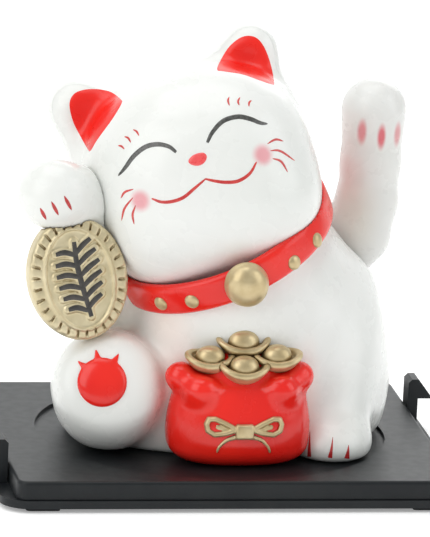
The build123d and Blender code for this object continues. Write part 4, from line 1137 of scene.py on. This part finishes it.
def ingot(p, at, half, turn):
    """A boat-shaped ingot: upswept ends, a rolled rim and a round dome."""
    q = local(p, np.asarray(at, float), turned_frame(turn, -INGOT_LEAN, 0.0))
    s = half / 6.4
    bent = q.copy()
    bent[:, 2] = q[:, 2] - 0.028 / s * q[:, 0] ** 2 + 0.4
    hull = both(ball(bent, (0, 0, 1.2), (6.3 * s, 4.7 * s, 4.2)), bent[:, 2] - 1.0, 0.8)
    flat = np.hypot(bent[:, 0] / (5.6 * s), bent[:, 1] / (4.0 * s))
    rim = np.hypot((flat - 1.0) * 4.7 * s, bent[:, 2] - 0.9) - 1.0
    form = join(hull, rim, 0.5)
    form = carve(form, ball(bent, (0, 0, 1.8), (4.9 * s, 3.3 * s, 1.5)), 0.5)
    return join(form, ball(bent, (0, 0, 0.9), (3.9 * s, 3.3 * s, 3.7 * s)), 0.35)


def build_bag(red, gilt):
    points, quads = surface(bag, (-20, -42, FLOOR - 2), (27, -8, 40), 0.6 * FINE)
    outward(piece("treasure_bag", points, quads, red, "cat", "red_gloss", ["money_bag"]))
    meshes = []
    for k, (at, half, turn) in enumerate(INGOTS):
        def heap(p, k=k, at=at, half=half, turn=turn):
            form = ingot(p, at, half, turn)
            for other in INGOTS[k + 1:]:
                form = carve(form, ingot(p, *other) - 0.05, 0.2)
            return carve(form, bag(p) - 0.03, 0.2)
        at = np.asarray(at)
        meshes.append(surface(heap, at - (9, 7, 6), at + (9, 7, 7), 0.36 * FINE))
    outward(piece("ingots", *merged(meshes), gilt, "cat", "gold_paint", ["gold_ingots"]))


BOW_AT = np.array([2.9, -30.0, 18.7])


def build_bow(gilt):
    """The bow: a knot, two open loops with a sunken middle, and two curling tails."""
    sides = (-1.0, 1.0)
    loop = [(2.2, 0.5), (5.4, 2.2), (8.6, 3.4), (10.0, 2.7), (10.2, 0.7), (8.8, -0.9), (5.4, -0.6)]
    tail_line = [(2.6, -1.6), (4.8, -2.4), (6.6, -4.2), (7.3, -5.8)]
    front = drop_onto(bag, BOW_AT[None] - (0, 30, 0), (0, 1, 0))[0]

    def ribbon(p):
        q = p - BOW_AT
        surface_depth = bag(p)
        knot = both(np.abs(q[:, 0]) - 2.5, np.abs(q[:, 2]) - 2.0 - 0.03 * q[:, 0] ** 2, 0.9)
        form = both(knot, np.abs(surface_depth) - 1.5, 0.9)
        for side in sides:
            flip = q * np.array([side, 1.0, 1.0])
            ring = line_gap(flip, loop + [loop[0]], 0.0)
            tube = np.hypot(ring, surface_depth - 0.2) - 0.72
            form = join(form, tube, 0.3)
            inner = line_gap(flip, [(4.0, 0.4), (5.6, 0.8), (7.2, 1.1)], 0.7)
            form = join(form, both(inner, np.abs(surface_depth) - 0.25, 0.3), 0.3)
            end = line_gap(flip, tail_line, 0.0)
            taper = 0.85 - 0.07 * np.abs(flip[:, 0])
            form = join(form, np.hypot(end, (surface_depth - 0.1) * 1.3) - taper, 0.3)
        return carve(form, surface_depth + 0.25, 0.1)
    points, quads = surface(ribbon, (front[0] - 13, front[1] - 3, 9.0), (front[0] + 13, front[1] + 6, 25.5),
                            0.34 * FINE)
    outward(piece("ribbon_bow", points, quads, gilt, "cat", "gold_paint", ["bag_bow"]))


# --- CAD nodes that stay

def paint_cad_nodes():
    """Gives every CAD node that stays a procedural material for its slot."""
    base = plain("base_black", (0.010, 0.012, 0.014), (0.013, 0.0155, 0.017), 0.42, grain_mm=0.25,
                 grain=0.05, shine=0.28)
    finishes = {
        "base_black": base,
        "inner_plastic": plain("inner_plastic", (0.62, 0.62, 0.58), (0.68, 0.68, 0.64), 0.5),
        "steel": plain("steel", (0.55, 0.56, 0.58), (0.62, 0.63, 0.65), 0.3, 1.0, 0.2, 0.15),
        "sprung_metal": plain("sprung_metal", (0.70, 0.70, 0.68), (0.76, 0.76, 0.74), 0.18, 1.0, 0.3, 0.08),
        "copper_wire": plain("copper_wire", (0.60, 0.25, 0.10), (0.52, 0.20, 0.08), 0.28, 0.9, 0.2, 0.4),
        "board_green": plain("board_green", (0.02, 0.16, 0.06), (0.03, 0.20, 0.08), 0.3),
        "chip_black": plain("chip_black", (0.02, 0.02, 0.02), (0.035, 0.035, 0.035), 0.5, 0.0, 0.2, 0.25),
        "cell_wrap": plain("cell_wrap", (0.08, 0.18, 0.26), (0.10, 0.22, 0.32), 0.22),
        "magnet_grey": plain("magnet_grey", (0.10, 0.10, 0.11), (0.14, 0.14, 0.15), 0.5, 0.4, 0.3, 0.2),
        "lead_red": plain("lead_red", (0.50, 0.02, 0.02), (0.42, 0.02, 0.02), 0.45),
        "lead_black": plain("lead_black", (0.02, 0.02, 0.02), (0.03, 0.03, 0.03), 0.45),
        "white_gloss": plain("spare_white", (0.84, 0.85, 0.86), (0.80, 0.81, 0.82), 0.3),
    }
    for entry in frame["record"]["subparts"]:
        node = frame["nodes"].get(entry["node"])
        finish = finishes.get(entry["material_slot"])
        if node is None or finish is None:
            continue
        node.data.materials.clear()
        node.data.materials.append(finish)


# --- floor, light and camera

def one_sided(n):
    """Makes a material clear where it is seen from behind, so that the backdrop never hides the cat."""
    side, clear = n.add("ShaderNodeNewGeometry"), n.add("ShaderNodeBsdfTransparent")
    seen = n.add("ShaderNodeMixShader")
    n.link(side.outputs["Backfacing"], seen.inputs[0])
    n.link(n.shader.outputs[0], seen.inputs[1])
    n.link(clear.outputs[0], seen.inputs[2])
    n.link(seen.outputs[0], n.tree.nodes["Material Output"].inputs["Surface"])


def build_stage():
    """A plain pale floor that curves up behind the cat."""
    n = Nodes("floor_pale")
    tone = n.spread(n.noise(60.0, 3.0), 0.3, 0.7, 0.0, 1.0)
    n.set(Base_Color=n.mix(tone, (0.90, 0.90, 0.90), (0.93, 0.93, 0.93)))
    n.set(Roughness=0.8, Emission_Color=(1.0, 1.0, 1.0), Emission_Strength=0.28)
    one_sided(n)
    front, back, bend, top, half_width = -900.0, 500.0, 260.0, 1500.0, 1500.0
    turns = np.linspace(0.1, math.pi / 2, 14)
    profile = [(front, 0.0), (back, 0.0)]
    profile += [(back + bend * math.sin(a), bend - bend * math.cos(a)) for a in turns]
    profile += [(back + bend, top)]
    points = [(x, y, z) for y, z in profile for x in (-half_width, half_width)]
    faces = [(2 * k, 2 * k + 1, 2 * k + 3, 2 * k + 2) for k in range(len(profile) - 1)]
    mesh = bpy.data.meshes.new("floor")
    mesh.from_pydata([tuple(c * MM for c in p) for p in points], [], faces)
    mesh.shade_smooth()
    mesh.materials.append(n.material)
    floor = bpy.data.objects.new("floor", mesh)
    bpy.context.scene.collection.objects.link(floor)


def area_light(name, at, target, size, power, colour=(1.0, 1.0, 1.0)):
    light = bpy.data.lights.new(name, "AREA")
    light.shape = "RECTANGLE"
    light.size, light.size_y = size
    light.energy = power
    light.color = colour
    obj = bpy.data.objects.new(name, light)
    obj.location = at
    obj.rotation_mode = "QUATERNION"
    obj.rotation_quaternion = (Vector(target) - Vector(at)).to_track_quat("-Z", "Y")
    bpy.context.scene.collection.objects.link(obj)


def build_light():
    """Soft boxes at the left, right, top and back in a pale room that the camera sees as white."""
    middle = (0.0, 0.0, 0.06)
    area_light("key_left", (-0.62, -0.40, 0.50), middle, (0.60, 0.80), 2.9, (1.0, 0.99, 0.98))
    area_light("fill_right", (0.65, -0.30, 0.40), middle, (0.50, 0.70), 1.6, (0.98, 0.99, 1.0))
    area_light("top_soft", (-0.10, 0.05, 0.80), middle, (0.60, 0.60), 2.1)
    area_light("rim_back", (0.30, 0.60, 0.45), middle, (0.50, 0.40), 0.9)
    room = bpy.data.worlds.new("studio")
    room.use_nodes = True
    tree = room.node_tree
    light = tree.nodes["Background"]
    light.inputs["Color"].default_value = (0.97, 1.0, 0.99, 1.0)
    light.inputs["Strength"].default_value = 0.43
    seen = tree.nodes.new("ShaderNodeBackground")
    seen.inputs["Color"].default_value = (1.0, 1.0, 1.0, 1.0)
    path, mix = tree.nodes.new("ShaderNodeLightPath"), tree.nodes.new("ShaderNodeMixShader")
    tree.links.new(path.outputs["Is Camera Ray"], mix.inputs[0])
    tree.links.new(light.outputs[0], mix.inputs[1])
    tree.links.new(seen.outputs[0], mix.inputs[2])
    tree.links.new(mix.outputs[0], tree.nodes["World Output"].inputs["Surface"])
    bpy.context.scene.world = room
    bpy.context.scene.view_settings.view_transform = "Standard"


CAMERA_ROLL = math.radians(2.78)
CAMERA_TARGET = (1.7, 13.1, 50.9)
CAMERA_FAR = 2000.0
CAMERA_LENS = 489.0


def build_camera():
    """The camera at the viewing angle of the reference picture, slightly rolled."""
    right, _, up = VIEW_AXES
    back = -VIEW_AXES[1]
    across = right * math.cos(CAMERA_ROLL) + up * math.sin(CAMERA_ROLL)
    upward = up * math.cos(CAMERA_ROLL) - right * math.sin(CAMERA_ROLL)
    camera = bpy.data.cameras.new("camera")
    camera.lens = CAMERA_LENS
    camera.sensor_width = 36.0
    camera.clip_start, camera.clip_end = 0.1, 20.0
    obj = bpy.data.objects.new("camera", camera)
    place = (np.array(CAMERA_TARGET) + back * CAMERA_FAR) * MM
    turn = Matrix([[across[i], upward[i], back[i]] for i in range(3)])
    obj.matrix_world = Matrix.Translation(Vector(place)) @ turn.to_4x4()
    bpy.context.scene.collection.objects.link(obj)
    bpy.context.scene.camera = obj


# --- build

def build():
    red = lacquer("red_lacquer", RED, RED_DEEP, rough=0.22, coat=0.35)
    gilt = gold("champagne_gold")
    build_head(head_material())
    build_body(body_material())
    build_arm(arm_material())
    build_face()
    build_claws()
    build_collar(red, gilt)
    build_bell(gilt)
    build_coin(gold("coin_gold", (0.62, 0.53, 0.33), (0.72, 0.63, 0.42)))
    build_sole(red)
    build_bag(red, gilt)
    build_bow(gilt)
    paint_cad_nodes()
    build_stage()
    build_light()
    build_camera()


build()
